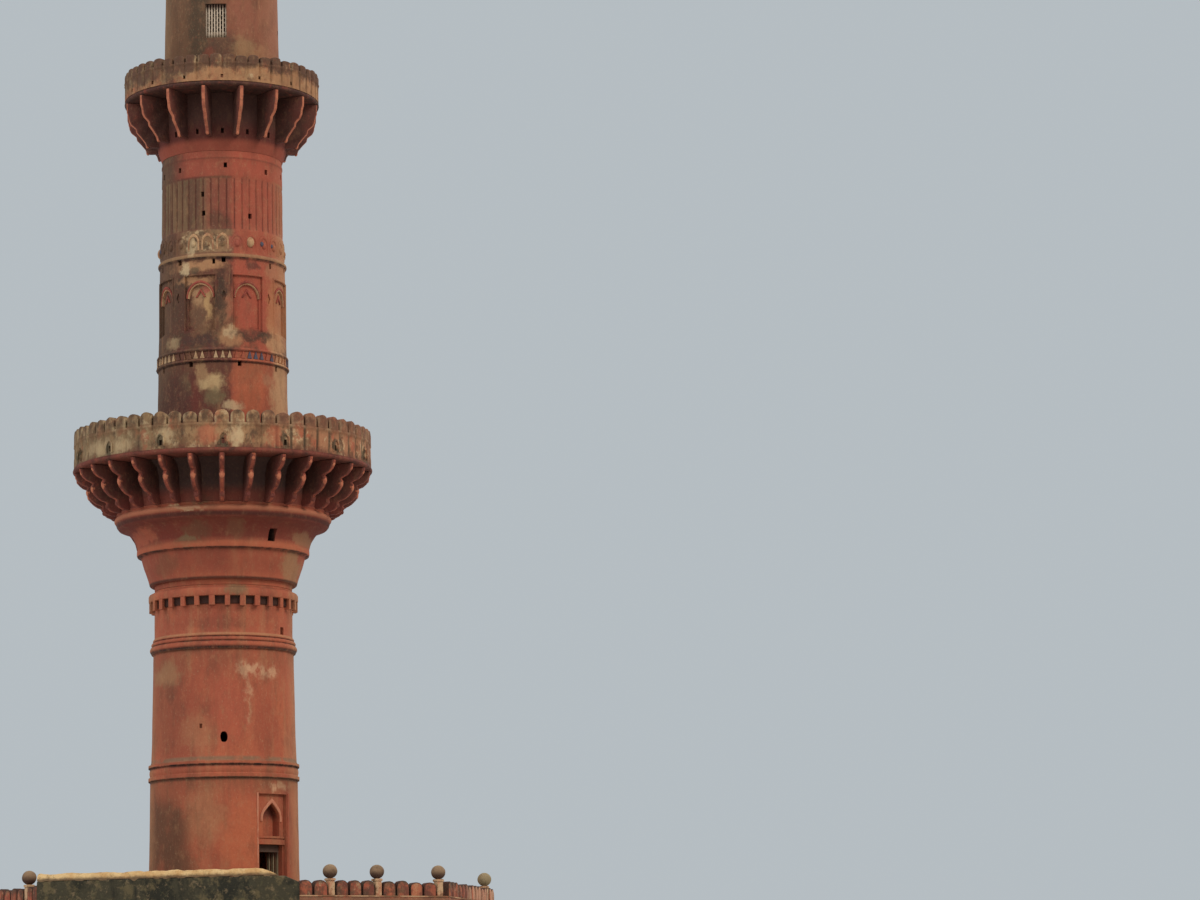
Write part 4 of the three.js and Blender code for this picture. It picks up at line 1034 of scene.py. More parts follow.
def capital_profile():
    bell = smooth_line([(3.37, 14.98), (3.43, 15.22), (3.52, 15.5), (3.64, 15.84), (3.76, 16.26)])
    fillet = [(3.80, 16.29), (3.93, 16.31), (3.955, 16.37), (3.955, 16.54), (3.94, 16.60)]
    flare = smooth_line([(3.96, 16.66), (4.04, 16.95), (4.16, 17.15), (4.30, 17.35), (4.50, 17.49),
                         (4.78, 17.58)])
    torus = [(4.86, 17.68), (4.90, 17.80), *bead(4.91, 17.84, 4.92, 18.08, 0.07, 8), (4.86, 18.11),
             (4.85, 18.15)]
    cove = [*bead(4.86, 18.17, 4.87, 18.27, 0.035, 5), (4.87, 18.3), (4.93, 18.55), (4.98, 18.9),
            (5.02, 19.5), (5.2, 19.9), (5.6, 20.16)]
    return [(3.14, 14.705), (3.16, 14.92), (3.33, 14.94), *bell, *fillet, *flare, *torus, *cove]


def build_capital(coat):
    cut = bmesh.new()
    for azimuth in WINDOWS:
        panel(cut, azimuth, CAPITAL_RADIUS, INSIDE1, CAPITAL_OUTSIDE, evenly(WINDOW_WIDTH, 3), WINDOW_BOTTOM,
              WINDOW_TOP)
    body = turned(capital_profile(), CAPITAL_HOLLOW, WIDE_RING, uneven(0.014, 0.8, 9), 0.25)
    keep("capital_bell", carve(body, cut), coat, "red_plaster", *(f"capital_segment_{k}" for k in (1, 2, 3)))


def build_brackets1(coat, edge_coat, knob_coat):
    bm, edges, knobs = bmesh.new(), bmesh.new(), bmesh.new()
    for azimuth in BRACKETS1:
        fin(bm, BRACKET1_SIDE, azimuth, BRACKET1_WIDTH)
        # The front edge and the front knobs carry the painted highlight.
        fin(edges, sliver(BRACKET1_SIDE[1:-1], EDGE1_PROUD), azimuth, EDGE1_WIDTH, EDGE1_NOSE)
        knob_at(bm, azimuth, *FOOT_KNOB)
        for shape in FRONT_KNOBS:
            knob_at(knobs, azimuth, *shape)
    keep("balcony1_brackets", bm, coat, "red_plaster", smooth=40)
    keep("balcony1_bracket_edges", edges, edge_coat, "red_plaster", smooth=40)
    keep("balcony1_bracket_noses", knobs, knob_coat, "red_plaster", smooth=60)


def build_slab(name, radius, bottom, top, coat, node):
    nosing = bead(radius - 0.07, bottom + 0.01, radius - 0.04, top - 0.05, 0.04, 5)
    outline = [(0, bottom), (radius - 0.10, bottom), *nosing, (radius - 0.06, top), (0, top)]
    keep(name, lathe(outline, WIDE_RING, uneven(0.008, 1.0, top)), coat, "red_plaster", node)


def merlon_line(half, foot, shoulder, crest, steps, power):
    """The outline of a round-topped merlon."""
    line = [(-half, foot), (-half, shoulder)]
    for k in range(1, steps):
        t = math.pi * k / steps
        line.append((-half * math.cos(t), shoulder + (crest - shoulder) * math.sin(t) ** power))
    return [*line, (half, shoulder), (half, foot)]


def shrunk(line, middle, share):
    """The outline drawn in to a share of its width, and of its height over the middle."""
    return [(x * share, middle + (z - middle) * (share if z > middle else 1.0)) for x, z in line]


def merlon(bm, azimuth, radius, thickness, width, foot, crest, wear, square):
    """A merlon with a swelling face, a little broken where it is worn, with a squarer or rounder top."""
    half = width / 2
    shoulder, power = (crest - half * 0.7, 0.5) if square else (crest - half * 1.05, 0.85)
    line = merlon_line(half, foot, shoulder, crest - wear, 8, power)
    middle = foot + (crest - foot) * 0.45
    steps = ((radius - thickness, 1.0), (radius - 0.05, 1.0), (radius - 0.005, 0.86), (radius + 0.015, 0.5))
    wrap(bm, azimuth, radius, [[(x, z, far) for x, z in shrunk(line, middle, share)] for far, share in steps])


def grooved(radius, foot, count, depth, first, seed):
    """Relief of a parapet's face: shallow ribs under the merlons, filled with plaster here and there."""
    worn = uneven(0.02, 0.8, seed)

    def relief(angle, r, z):
        if r < radius - 0.02 or z < foot + 0.02:
            return worn(angle, r, z) if r > radius - 0.1 else r
        phase = (math.degrees(angle) - first) * count / 360
        rib = abs(math.sin(math.pi * phase)) ** 0.35
        x, y, z_here = polar(angle, 3, z)
        filled = 0.5 + 0.9 * noise.noise(Vector((x + seed, y, z_here * 1.2)))
        filled = min(1.0, max(0.15, filled))
        return worn(angle, r, z) - depth * (1 - rib) * (1.15 - filled)
    return relief


def build_parapet(name, radius, thickness, foot, crest, top, count, first, coat, nodes, drains, square=False):
    """A round parapet with a raised edge, drains and merlons."""
    inner = radius - thickness
    face = [(radius, foot), (radius, crest - 0.16), (radius + 0.02, crest - 0.13),
            (radius + 0.03, crest - 0.09), (radius + 0.02, crest - 0.04), (radius, crest)]
    body = turned(face, inner, count * 8, grooved(radius, foot, count, 0.10, first - 180 / count, top), 0.12)
    cut = bmesh.new()
    number, wide, low, high = drains
    for azimuth in around(number, FACE):
        panel(cut, azimuth, radius, inner - 0.3, radius + 0.5, evenly(wide, 2), low, high)
    body = carve(body, cut)
    pitch = 2 * math.pi * radius / count
    for azimuth in around(count, first):
        merlon(body, azimuth, radius, thickness, pitch * random.uniform(0.84, 0.91), crest - 0.04,
               top + random.uniform(-0.04, 0.0), random.choice((0, 0, 0, 0.03, 0.07)), square)
    keep(name, body, coat, "weathered_plaster", *nodes, smooth=40)


def build_spout_hoods(coat):
    """A small pointed hood round each drain of the first balcony."""
    bm = bmesh.new()
    for azimuth in around(DRAINS1[0], FACE):
        strip(bm, azimuth, HOOD_RADIUS, arch_line(*HOOD_OUTER, 6), arch_line(*HOOD_INNER, 6), *HOOD_REACH)
    keep("spout_hoods", bm, coat, "weathered_plaster")


# Second storey

STOREY2_INNER = 2.05
STOREY2_BASE, STOREY2_TOP = 20.385, 34.875
WALL2 = 2.93
# How far from the axis the second storey's cutters start and end, and where its blind recesses start
INSIDE2, OUTSIDE2 = 1.6, 3.6
FRAME_BACK, NICHE_BACK, LOZENGE_BACK, HOLE2_BACK = 2.83, 2.73, 2.86, 2.4
NICHES = around(8, -107.75)
FRAME_HALF, FRAME_BOTTOM, FRAME_TOP = 0.82, 26.41, 29.08
NICHE_WIDTH, NICHE_SILL, NICHE_SPRING, NICHE_APEX = 1.28, 26.56, 27.98, 28.66
LOZENGE_WIDTH, LOZENGE_HEIGHT, LOZENGE_MIDDLE = 0.24, 0.5, 28.05
FRAME_MOULDING, FRAME_SILL_WIDTH, FRAME_SILL_FOOT, FRAME_SILL_TOP = 0.07, 1.70, 26.35, 26.44
# How far from the axis each moulding of a niche starts and ends
FRAME_REACH, FRAME_SILL_REACH, PEAK_REACH = (2.72, 2.96), (2.7, 2.95), (2.68, 2.80)
DARK_ARCH_REACH, LIGHT_ARCH_REACH = (2.76, 2.89), (2.70, 2.86)
# Half the width and the top of the small hood over a niche, outside and inside
PEAK_FOOT, PEAKS = 28.02, ((0.27, 28.42), (0.17, 28.27))
# Width, spring and apex of the three lines between which a niche's voussoirs lie
NICHE_ARCHES = ((1.44, 28.0, 28.79), (1.30, 27.98, 28.67), (1.2, 27.98, 28.6))
REEDS = 48
TRIANGLES, TRIANGLE_HALF, TRIANGLE_FOOT, TRIANGLE_HEIGHT, TRIANGLE_FALL = 60, 0.095, 25.12, 0.35, 0.32
TRIANGLE_RADIUS, TRIANGLE_FACE = 2.98, 3.04
UPPER_DOOR_WIDTH = 0.9
DOOR2_RADIUS, DOOR2_SILL, DOOR2_SPRING, DOOR2_APEX = 3.0, 20.2, 21.78, 22.28
HOLES2 = ((-42, 29.6), (-8, 29.55), (1, 29.62), (49, 29.5), (-29, 24.78), (15, 24.78), (55, 24.72),
          (-19, 32.75), (-18, 31.85), (27, 31.75), (3, 34.1), (-44, 34.0), (46, 33.95))
HOLE2_WIDTH, HOLE2_HEIGHT = 0.16, 0.22
BELT_ARCHES, BELT_RADIUS, BELT_REACH = 26, 2.86, (2.78, 2.89)
# Width, foot, spring and apex of the small arches in the carved belt
BELT_OUTER, BELT_INNER = (0.58, 30.2, 30.6, 31.0), (0.42, 30.2, 30.58, 30.86)
# The distance from the axis, height, size and squash of a flower and of a boss, with the boss's segments
FLOWER, BOSS = (2.83, 30.5, 0.13, 1.3), (2.82, 30.6, 0.2, 1.3, 18)
# Degrees from the weathered face and size of the painted medallions
MEDALLIONS = ((39, 0.11), (52, 0.09), (159, 0.11), (279, 0.11))


def storey2_profile():
    rings = [(3.02, 24.95), *bead(3.03, 24.97, 3.03, 25.10, 0.04), (2.97, 25.13), (2.975, 25.43),
             *bead(3.01, 25.45, 3.01, 25.59, 0.03), (2.96, 25.63)]
    torus = [(2.93, 29.78), *bead(2.94, 29.80, 2.94, 30.0, 0.045, 8), (2.90, 30.04), (2.87, 30.10)]
    upper = [(2.845, 31.05), (2.83, 31.14), (2.80, 31.2), (2.78, 33.62), (2.80, 33.68), (2.785, 34.52),
             (2.81, 34.56), (2.81, 34.64), (2.785, 34.68), (2.785, STOREY2_TOP)]
    return [(3.04, STOREY2_BASE), (2.97, 24.92), *rings, (2.90, 29.74), *torus, *upper]


def ribbed(angle, r, z):
    """Half-round upright reeds in the belt over the torus."""
    base = uneven(0.012, 0.9, 15)(angle, r, z)
    if r < 2.5 or not 31.22 < z < 33.6:
        return base
    return base + 0.06 * (abs(math.sin(REEDS / 2 * angle)) ** 0.7 - 0.75)


def lozenge(wide, high, z):
    """The places across an upright lozenge, and its low and high edges there."""
    def edge(way):
        return lambda x: z + way * (high / 2 * max(0.0, 1 - 2 * abs(x) / wide) + 0.004)
    return [-wide / 2, 0, wide / 2], edge(-1), edge(1)


def build_storey2(coat):
    frames, cut = bmesh.new(), bmesh.new()
    for azimuth in NICHES:
        panel(frames, azimuth, WALL2, FRAME_BACK, OUTSIDE2, evenly(2 * FRAME_HALF, 8), FRAME_BOTTOM,
              FRAME_TOP)
        panel(cut, azimuth, WALL2, NICHE_BACK, OUTSIDE2, spread(NICHE_WIDTH, 18), NICHE_SILL,
              arch_top(NICHE_WIDTH, NICHE_SPRING, NICHE_APEX))
        panel(cut, azimuth + 180 / len(NICHES), WALL2, LOZENGE_BACK, OUTSIDE2,
              *lozenge(LOZENGE_WIDTH, LOZENGE_HEIGHT, LOZENGE_MIDDLE))
    panel(frames, DOOR, DOOR2_RADIUS, INSIDE2, OUTSIDE2, spread(UPPER_DOOR_WIDTH, 14), DOOR2_SILL,
          arch_top(UPPER_DOOR_WIDTH, DOOR2_SPRING, DOOR2_APEX))
    for turn in around(3):
        for across, height in HOLES2:
            wide = HOLE2_WIDTH + 0.03 * math.sin(across)
            panel(cut, FACE + across + turn, 2.9, HOLE2_BACK, OUTSIDE2, evenly(wide, 2), height - 0.02,
                  height + HOLE2_HEIGHT)
    body = turned(storey2_profile(), STOREY2_INNER, REEDS * 10, ribbed)
    keep("storey2_masonry", carve(body, frames, cut), coat, "patched_plaster",
         *(f"storey2_wall_{part}" for part in ("front", "right", "back", "left")))


def build_niche_mouldings(coat, light_coat, dark_coat):
    """Frames, sills and little pointed hoods of the niches, and their arches of striped voussoirs."""
    bm, light, dark = bmesh.new(), bmesh.new(), bmesh.new()
    frame_outer, frame_inner = (
        finer([(-x, FRAME_BOTTOM), (-x, top), (x, top), (x, FRAME_BOTTOM)], parts=8)
        for x, top in ((FRAME_HALF, FRAME_TOP), (FRAME_HALF - FRAME_MOULDING, FRAME_TOP - FRAME_MOULDING)))
    hood_outer, hood_inner = ([(-x, PEAK_FOOT), (0, peak), (x, PEAK_FOOT)] for x, peak in PEAKS)
    crown, reveal, lip = (
        arch_line(width, NICHE_SILL, spring, apex, 9)[1:-1] for width, spring, apex in NICHE_ARCHES)
    for azimuth in NICHES:
        strip(bm, azimuth, WALL2, frame_outer, frame_inner, *FRAME_REACH)
        panel(bm, azimuth, WALL2, *FRAME_SILL_REACH, evenly(FRAME_SILL_WIDTH, 8), FRAME_SILL_FOOT,
              FRAME_SILL_TOP)
        strip(dark, azimuth, WALL2, hood_outer, hood_inner, *PEAK_REACH)
        strip(dark, azimuth, WALL2, crown, reveal, *DARK_ARCH_REACH)
        strip(light, azimuth, WALL2, reveal, lip, *LIGHT_ARCH_REACH)
    keep("niche_mouldings", bm, coat, "patched_plaster")
    keep("niche_light_voussoirs", light, light_coat, "cream_stucco")
    keep("niche_dark_voussoirs", dark, dark_coat, "red_plaster")


def triangle_kind(turn):
    """Some triangles are still cream (0), some slate blue (1) and the rest red (2)."""
    if -75 < turn < -42 or -7 < turn < 8 or turn in (-24, -18):
        return 0
    if turn in (24, 30, 36, 48):
        return 1
    return 2 if abs(turn) < 75 else random.choice((0, 1, 2, 2))


def build_triangles(coats):
    """Little upright triangles between the lower rings."""
    made = [bmesh.new() for _ in coats]
    for azimuth in around(TRIANGLES):
        turn = (azimuth + 180) % 360 - 180
        panel(made[triangle_kind(turn)], FACE + turn, TRIANGLE_RADIUS, WALL2, TRIANGLE_FACE,
              [-TRIANGLE_HALF, 0, TRIANGLE_HALF], TRIANGLE_FOOT,
              lambda x: TRIANGLE_FOOT + TRIANGLE_HEIGHT - TRIANGLE_FALL * abs(x) / TRIANGLE_HALF)
    for name, bm, coat in zip(("cream", "slate", "red"), made, coats):
        keep(f"{name}_triangles", bm, coat, "patched_plaster")


def build_storey2_ornament(coat, light_coat, slate_coat):
    """The carved belt over the torus: small arches with a worn flower in each, and painted medallions."""
    flowers, arches, medallions = bmesh.new(), bmesh.new(), bmesh.new()
    for turn in around(BELT_ARCHES):
        target = arches if 80 < turn < 250 or turn > 320 or turn < 6 else flowers
        strip(target, FACE + turn, BELT_RADIUS, arch_line(*BELT_OUTER, 6), arch_line(*BELT_INNER, 6),
              *BELT_REACH)
        knob_at(flowers, FACE + turn, *FLOWER)
    for turn in around(3, 26.5):
        knob_at(arches, FACE + turn, *BOSS)
    for turn, size in MEDALLIONS:
        knob_at(medallions, FACE + turn, 2.84, 30.58, size, 1.1)
    keep("storey2_flowers", flowers, coat, "patched_plaster")
    keep("storey2_carved_arches", arches, light_coat, "patched_plaster")
    keep("storey2_medallions", medallions, slate_coat, "patched_plaster")


# Second and third balconies

# The number of each upper balcony's brackets, the first one's azimuth and their width
BRACKETS2, BRACKETS3 = (16, -120, 0.22), (12, -116.25, 0.2)
BELL2 = [(2.80, 34.885), (2.83, 34.98), (2.88, 35.1), (2.98, 35.4), (3.03, 35.9), (3.04, 36.6), (3.05, 37.55)]
BELL3 = [(2.54, 46.905), (2.60, 47.05), (2.66, 47.3), (2.70, 48.1), (2.71, 48.79)]
BRACKET2_EDGE = [
    (3.46, 35.50), (3.56, 35.53), (3.62, 35.70), (3.85, 35.98), (4.02, 36.16), (4.06, 36.34), (4.30, 36.54),
    (4.38, 36.70), (4.41, 36.92), (4.48, 37.12), (4.49, 37.54),
]
BRACKET3_EDGE = [
    (2.76, 47.12), (2.84, 47.30), (2.90, 47.42), (3.02, 47.62), (3.14, 47.90), (3.16, 48.06), (3.34, 48.30),
    (3.44, 48.52), (3.50, 48.78),
]


def build_upper_brackets(tag, bell, hollow, edge, count, first, width, coats):
    """A drum with slim brackets round it, each with a bright front edge painted as a highlight."""
    cut, fins, edges = bmesh.new(), bmesh.new(), bmesh.new()
    foot, back = edge[0][1], hollow + 0.5
    side = [(back, foot), *edge, (back, edge[-1][1])]
    for azimuth in around(count, first):
        panel(cut, azimuth + 180 / count, 3.0, hollow + 0.4, 3.6, evenly(0.13, 2), foot + 0.15, foot + 0.4)
        fin(fins, side, azimuth, width)
        fin(edges, sliver(edge, 0.015), azimuth, width * 0.75, 0.2)
        for r, z in (edge[1], edge[-3]):
            knob_at(edges, azimuth, r - 0.03, z + 0.05, 0.085, 1.5)
    body = turned(bell, hollow, SLIM_RING, uneven(0.01, 0.9, count))
    keep(f"{tag}_bell", carve(body, cut), coats[0], "red_plaster", f"{tag}_corbels_1", f"{tag}_corbels_2")
    keep(f"{tag}_brackets", fins, coats[1], "red_plaster", smooth=40)
    keep(f"{tag}_bracket_edges", edges, coats[2], "red_plaster", smooth=60)


# Third storey

STOREY3_INNER = 1.85
STOREY3_BASE, STOREY3_TOP = 37.765, 46.895
INSIDE3, OUTSIDE3, HOLE3_BACK = 1.4, 3.2, 2.2
SCREEN_AZIMUTHS = (-137.5, 42.5)
SCREEN_RADIUS, SCREEN_BACK = 2.66, 2.44
SCREEN_WIDTH, SCREEN_BOTTOM, SCREEN_TOP = 1.0, 40.29, 41.92
SCREEN_GAPS, SCREEN_ROWS, BAR_HALF, SCREEN_PLAY = 7, 7, 0.03, 0.003
DOOR3_RADIUS, DOOR3_SILL, DOOR3_SPRING, DOOR3_APEX = 2.7, 37.5, 39.0, 39.45
HOLES3 = ((-60, 43.5), (25, 43.6), (80, 41.0), (150, 43.2), (-150, 41.2))
HOLE3_WIDTH, HOLE3_HEIGHT = 0.15, 0.22


def storey3_profile():
    return [(2.71, STOREY3_BASE), (2.66, 40.4), (2.62, 42.7), (2.54, 45.6),
            *bead(2.58, 45.64, 2.58, 45.88, 0.06, 8), (2.53, 45.95), (2.50, STOREY3_TOP)]


def build_storey3(coat):
    cut = bmesh.new()
    for azimuth in SCREEN_AZIMUTHS:
        panel(cut, azimuth, SCREEN_RADIUS, INSIDE3, OUTSIDE3, evenly(SCREEN_WIDTH, 4), SCREEN_BOTTOM,
              SCREEN_TOP)
    panel(cut, DOOR, DOOR3_RADIUS, INSIDE3, OUTSIDE3, spread(UPPER_DOOR_WIDTH, 14), DOOR3_SILL,
          arch_top(UPPER_DOOR_WIDTH, DOOR3_SPRING, DOOR3_APEX))
    for across, height in HOLES3:
        panel(cut, FACE + across, 2.6, HOLE3_BACK, OUTSIDE3, evenly(HOLE3_WIDTH, 2), height,
              height + HOLE3_HEIGHT)
    body = turned(storey3_profile(), STOREY3_INNER, SLIM_RING, uneven(0.012, 0.9, 31))
    keep("storey3_masonry", carve(body, cut), coat, "patched_plaster",
         *(f"storey3_wall_{part}" for part in ("front", "right", "left")))


def build_screen(number, azimuth, coat):
    """Upright stucco bars with faint cross pieces behind them, and a low rail at the foot."""
    bm = bmesh.new()
    low, high = SCREEN_BOTTOM + 0.005, SCREEN_TOP - 0.005
    pitch = (SCREEN_WIDTH - 2 * BAR_HALF - 2 * SCREEN_PLAY) / SCREEN_GAPS
    bars = [-SCREEN_WIDTH / 2 + BAR_HALF + SCREEN_PLAY + pitch * k for k in range(SCREEN_GAPS + 1)]

    def piece(far, xs, bottom, top):
        panel(bm, azimuth, SCREEN_RADIUS, SCREEN_BACK, far, xs, bottom, top)

    for x in bars:
        piece(2.56, [x - BAR_HALF, x + BAR_HALF], low, high)
    piece(2.48, evenly(SCREEN_WIDTH - 0.02, 4), low, low + 0.3)
    for k, x in enumerate(bars[:-1]):
        for j in range(SCREEN_ROWS):
            z = low + (high - low) * (j + (0.75 if k % 2 else 0.25)) / SCREEN_ROWS
            piece(2.48, [x + BAR_HALF - 0.01, x + pitch - BAR_HALF + 0.01], z - 0.025, z + 0.025)
    keep(f"screen_{number}", bm, coat, "cream_stucco", f"window_screen_{number}")


# Top storey, dome and finial

TOP_INNER, TOP_RADIUS = 1.4, 1.95
TOP_SILL, TOP_SPRING, TOP_APEX = 49.68, 51.08, 51.78
TOP_DOOR_SILL = 48.7
TOP_INSIDE, TOP_OUTSIDE, TOP_BLIND_BACK = 1.0, 2.8, 1.83
# Width, foot, spring and apex of the mouldings round the top storey's arches
TOP_ARCH_OUTER, TOP_ARCH_INNER = (1.14, 49.6, 51.12, 51.98), (0.98, 49.6, 51.1, 51.86)
TOP_ARCH_REACH = (1.86, 1.985)
DOME_RADIUS, DOME_FOOT, DOME_RISE = 2.0, 53.9, 2.9


def build_top(coat):
    outside = [(2.02, 48.985), (2.02, 49.28), (1.96, 49.4), (1.93, 52.9), (1.93, 53.15), (2.05, 53.22),
               (2.20, 53.38), (2.26, 53.48), (2.26, 53.62), (2.12, 53.72), (2.06, 53.80), (2.06, 53.895)]
    cut, blind = bmesh.new(), bmesh.new()
    arch = arch_top(UPPER_DOOR_WIDTH, TOP_SPRING, TOP_APEX)
    for azimuth in around(4, DOOR):
        sill = TOP_DOOR_SILL if azimuth == DOOR else TOP_SILL
        panel(cut, azimuth, TOP_RADIUS, TOP_INSIDE, TOP_OUTSIDE, spread(UPPER_DOOR_WIDTH, 16), sill, arch)
        panel(blind, azimuth + 45, TOP_RADIUS, TOP_BLIND_BACK, TOP_OUTSIDE, spread(UPPER_DOOR_WIDTH, 16),
              TOP_SILL, arch)
    body = carve(turned(outside, TOP_INNER, 128, uneven(0.01, 0.9, 47)), cut, blind)
    for azimuth in around(8, DOOR):
        strip(body, azimuth, TOP_RADIUS, arch_line(*TOP_ARCH_OUTER, 8), arch_line(*TOP_ARCH_INNER, 8),
              *TOP_ARCH_REACH)
    keep("top_storey_masonry", body, coat, "patched_plaster", "top_storey")


def gored(angle, r, z):
    """Relief of a dome with sixteen shallow gores."""
    return r if r < 0.5 else uneven(0.01, 1.0, 51)(angle, r, z) - 0.035 * abs(math.sin(8 * angle)) ** 6


def build_dome(coat):
    line = []
    for k in range(19):
        t = math.pi / 2 * k / 20
        radius = DOME_RADIUS * math.cos(t) * (1 + 0.06 * math.sin(2 * t))
        line.append((radius, DOME_FOOT + DOME_RISE * math.sin(t)))
    line += [(0.46, 56.79), (0.44, 56.8), (0, 56.8)]
    inside = [(0, 56.5), (0.22, 56.5), (0.6, 56.1), (1.15, 55.1), (1.4, 54.2), (1.44, DOME_FOOT)]
    keep("dome_shell", lathe([*line, *inside, line[0]], 160, gored), coat, "weathered_plaster", "dome")


def build_finial(coat):
    stem = smooth_line([(0.44, 56.81), (0.45, 56.9), (0.28, 57.0), (0.14, 57.15), (0.2, 57.25), (0.37, 57.42),
                        (0.41, 57.55), (0.34, 57.72), (0.13, 57.92), (0.12, 58.02), (0.22, 58.14),
                        (0.24, 58.24), (0.14, 58.36), (0.06, 58.5), (0.04, 58.9)])
    keep("finial_stem", lathe([(0, 56.81), *stem, (0, 59.29)], 32), coat, "cream_stucco", "finial", smooth=60)


# Podium

PODIUM_TURN = -13
FENCE_SIDES = ("front", "front_right", "right", "back_right", "back", "back_left", "left")
FENCE_INNER, FENCE_OUTER = 11.13, 11.55
FENCE_FOOT, FENCE_WALL, FENCE_TOP = -0.148, 0.35, 1.01
FENCE_PITCH, FENCE_SHARE, FENCE_MARGIN = 0.66, 0.87, 0.02
POST_HALF, POST_TOP, BALL = 0.165, 1.09, 0.315
POST_BASE_TOP, POST_CAP_FOOT = 0.3, 0.98
FRONT_POSTS, SIDE_POSTS = (-1.04, 1.29, 4.40), (3.4,)
OLD_SIDE = 7
OLD_OUTER, OLD_TOP, OLD_RIGHT = 11.69, 1.19, -2.74
CAP_TOP, CAP_LIP, CAP_RIGHT = 1.53, 0.09, -3.80
CORNER = math.tan(math.pi / 8)


def side_matrix(side):
    """The frame of a podium side: x along it, y outwards and z up."""
    out, along = heading(-90 + PODIUM_TURN + 45 * side)
    return Matrix((along, out, Vector((0, 0, 1)))).transposed().to_4x4()


def mitre(x, y):
    """Keeps a place along a side within its corners."""
    corner = y * CORNER - 0.003
    return max(-corner, min(corner, x))


def run(bm, turn, x0, x1, section, parts):
    """A body along a podium side from its section, perhaps a function of x, mitred at the corners."""
    xs = [x0 + (x1 - x0) * k / parts for k in range(parts + 1)]
    skin(bm, [[turn @ Vector((mitre(x, y), y, z)) for y, z in at(section, x)] for x in xs])


def wall_section(outer, top):
    """The section of a wall with eased top edges, and a top that is a number or a function of x."""
    y0, y1 = FENCE_INNER, outer

    def section(x):
        z = at(top, x)
        return ((y0, FENCE_FOOT), (y1, FENCE_FOOT), (y1, z - 0.03), (y1 - 0.04, z), (y0 + 0.04, z),
                (y0, z - 0.03))
    return section


def ledge_section():
    y0, y1 = FENCE_OUTER - 0.02, FENCE_OUTER + 0.03
    low, high = FENCE_WALL - 0.06, FENCE_WALL + 0.01
    return ((y0, low), (y1, low + 0.02), (y1, high), (y0, high))


def fence_merlon(face, core, turn, x, width, wear):
    """A merlon with a core painted dark for the shade in the gaps between merlons, and a swelling face of
    plaster on both sides.
    """
    half = width / 2
    line = merlon_line(half, FENCE_WALL - 0.04, FENCE_TOP - half, FENCE_TOP - wear, 6, 0.8)
    near, far = FENCE_INNER + 0.05, FENCE_OUTER - 0.04
    for bm, steps in ((core, ((near, 1.0), (far, 1.0))),
                      (face, ((near - 0.04, 0.8), (near - 0.02, 0.9), (near, 0.94))),
                      (face, ((far, 0.94), (far + 0.015, 0.9), (far + 0.035, 0.76)))):
        skin(bm, [[turn @ Vector((x + aside, y, z)) for aside, z in shrunk(line, 0.4, share)]
                  for y, share in steps])


def fence_post(posts, balls, turn, x):
    axis = (FENCE_INNER + FENCE_OUTER) / 2
    for half, low, high in ((POST_HALF + 0.02, FENCE_FOOT, POST_BASE_TOP),
                            (POST_HALF - 0.01, POST_BASE_TOP, POST_CAP_FOOT),
                            (POST_HALF + 0.02, POST_CAP_FOOT, POST_TOP)):
        block = Matrix.Diagonal((2 * half, 2 * half, high - low, 1))
        matrix = turn @ Matrix.Translation((x, axis, (low + high) / 2)) @ block
        bmesh.ops.create_cube(posts, size=1.0, matrix=matrix)
    knob(balls, turn @ Vector((x, axis, POST_TOP + BALL - 0.02)), BALL, 0.97, 24)


def merlon_places(start, end):
    """Places and width of the merlons that share a stretch of the parapet."""
    count = round((end - start) / FENCE_PITCH)
    pitch = (end - start) / max(1, count)
    return [start + (k + 0.5) * pitch for k in range(count)], pitch * FENCE_SHARE


def build_fence(coat, core_coat, ledge_coat, post_material, ball_material):
    walls, cores, ledges, posts, balls = (bmesh.new() for _ in range(5))
    corner = FENCE_OUTER * CORNER
    end = FENCE_INNER * CORNER - FENCE_MARGIN
    inset = POST_HALF + FENCE_MARGIN
    for side in range(len(FENCE_SIDES)):
        turn = side_matrix(side)
        left, places = (-corner, SIDE_POSTS) if side else (OLD_RIGHT + 0.02, FRONT_POSTS)
        run(walls, turn, left, corner, wall_section(FENCE_OUTER, FENCE_WALL), 12)
        run(ledges, turn, left, corner, ledge_section(), 12)
        start = max(left, -end - FENCE_MARGIN) + FENCE_MARGIN
        ends = [start, *(x + way * inset for x in places for way in (-1, 1)), end]
        for start, stop in zip(ends[::2], ends[1::2]):
            middles, width = merlon_places(start, stop)
            for x in middles:
                fence_merlon(walls, cores, turn, x, width, random.choice((0, 0, 0.03, 0.07)))
        for x in places:
            fence_post(posts, balls, turn, x)
    bmesh.ops.bevel(posts, geom=posts.edges[:], offset=0.02, segments=2, affect="EDGES")
    for vert in balls.verts:
        vert.co += vert.co.normalized() * 0.012 * noise.noise(vert.co * 5)
    keep("podium_fence", walls, coat, "red_plaster", *(f"podium_parapet_{name}" for name in FENCE_SIDES),
         smooth=40)
    keep("podium_merlon_cores", cores, core_coat, "red_plaster", smooth=40)
    keep("podium_parapet_ledge", ledges, ledge_coat, "red_plaster")
    keep("podium_posts", posts, post_material, "red_plaster", smooth=40)
    keep("podium_balls", balls, ball_material, "weathered_plaster", smooth=60)


def bumpy(*place):
    return noise.noise(Vector(place))


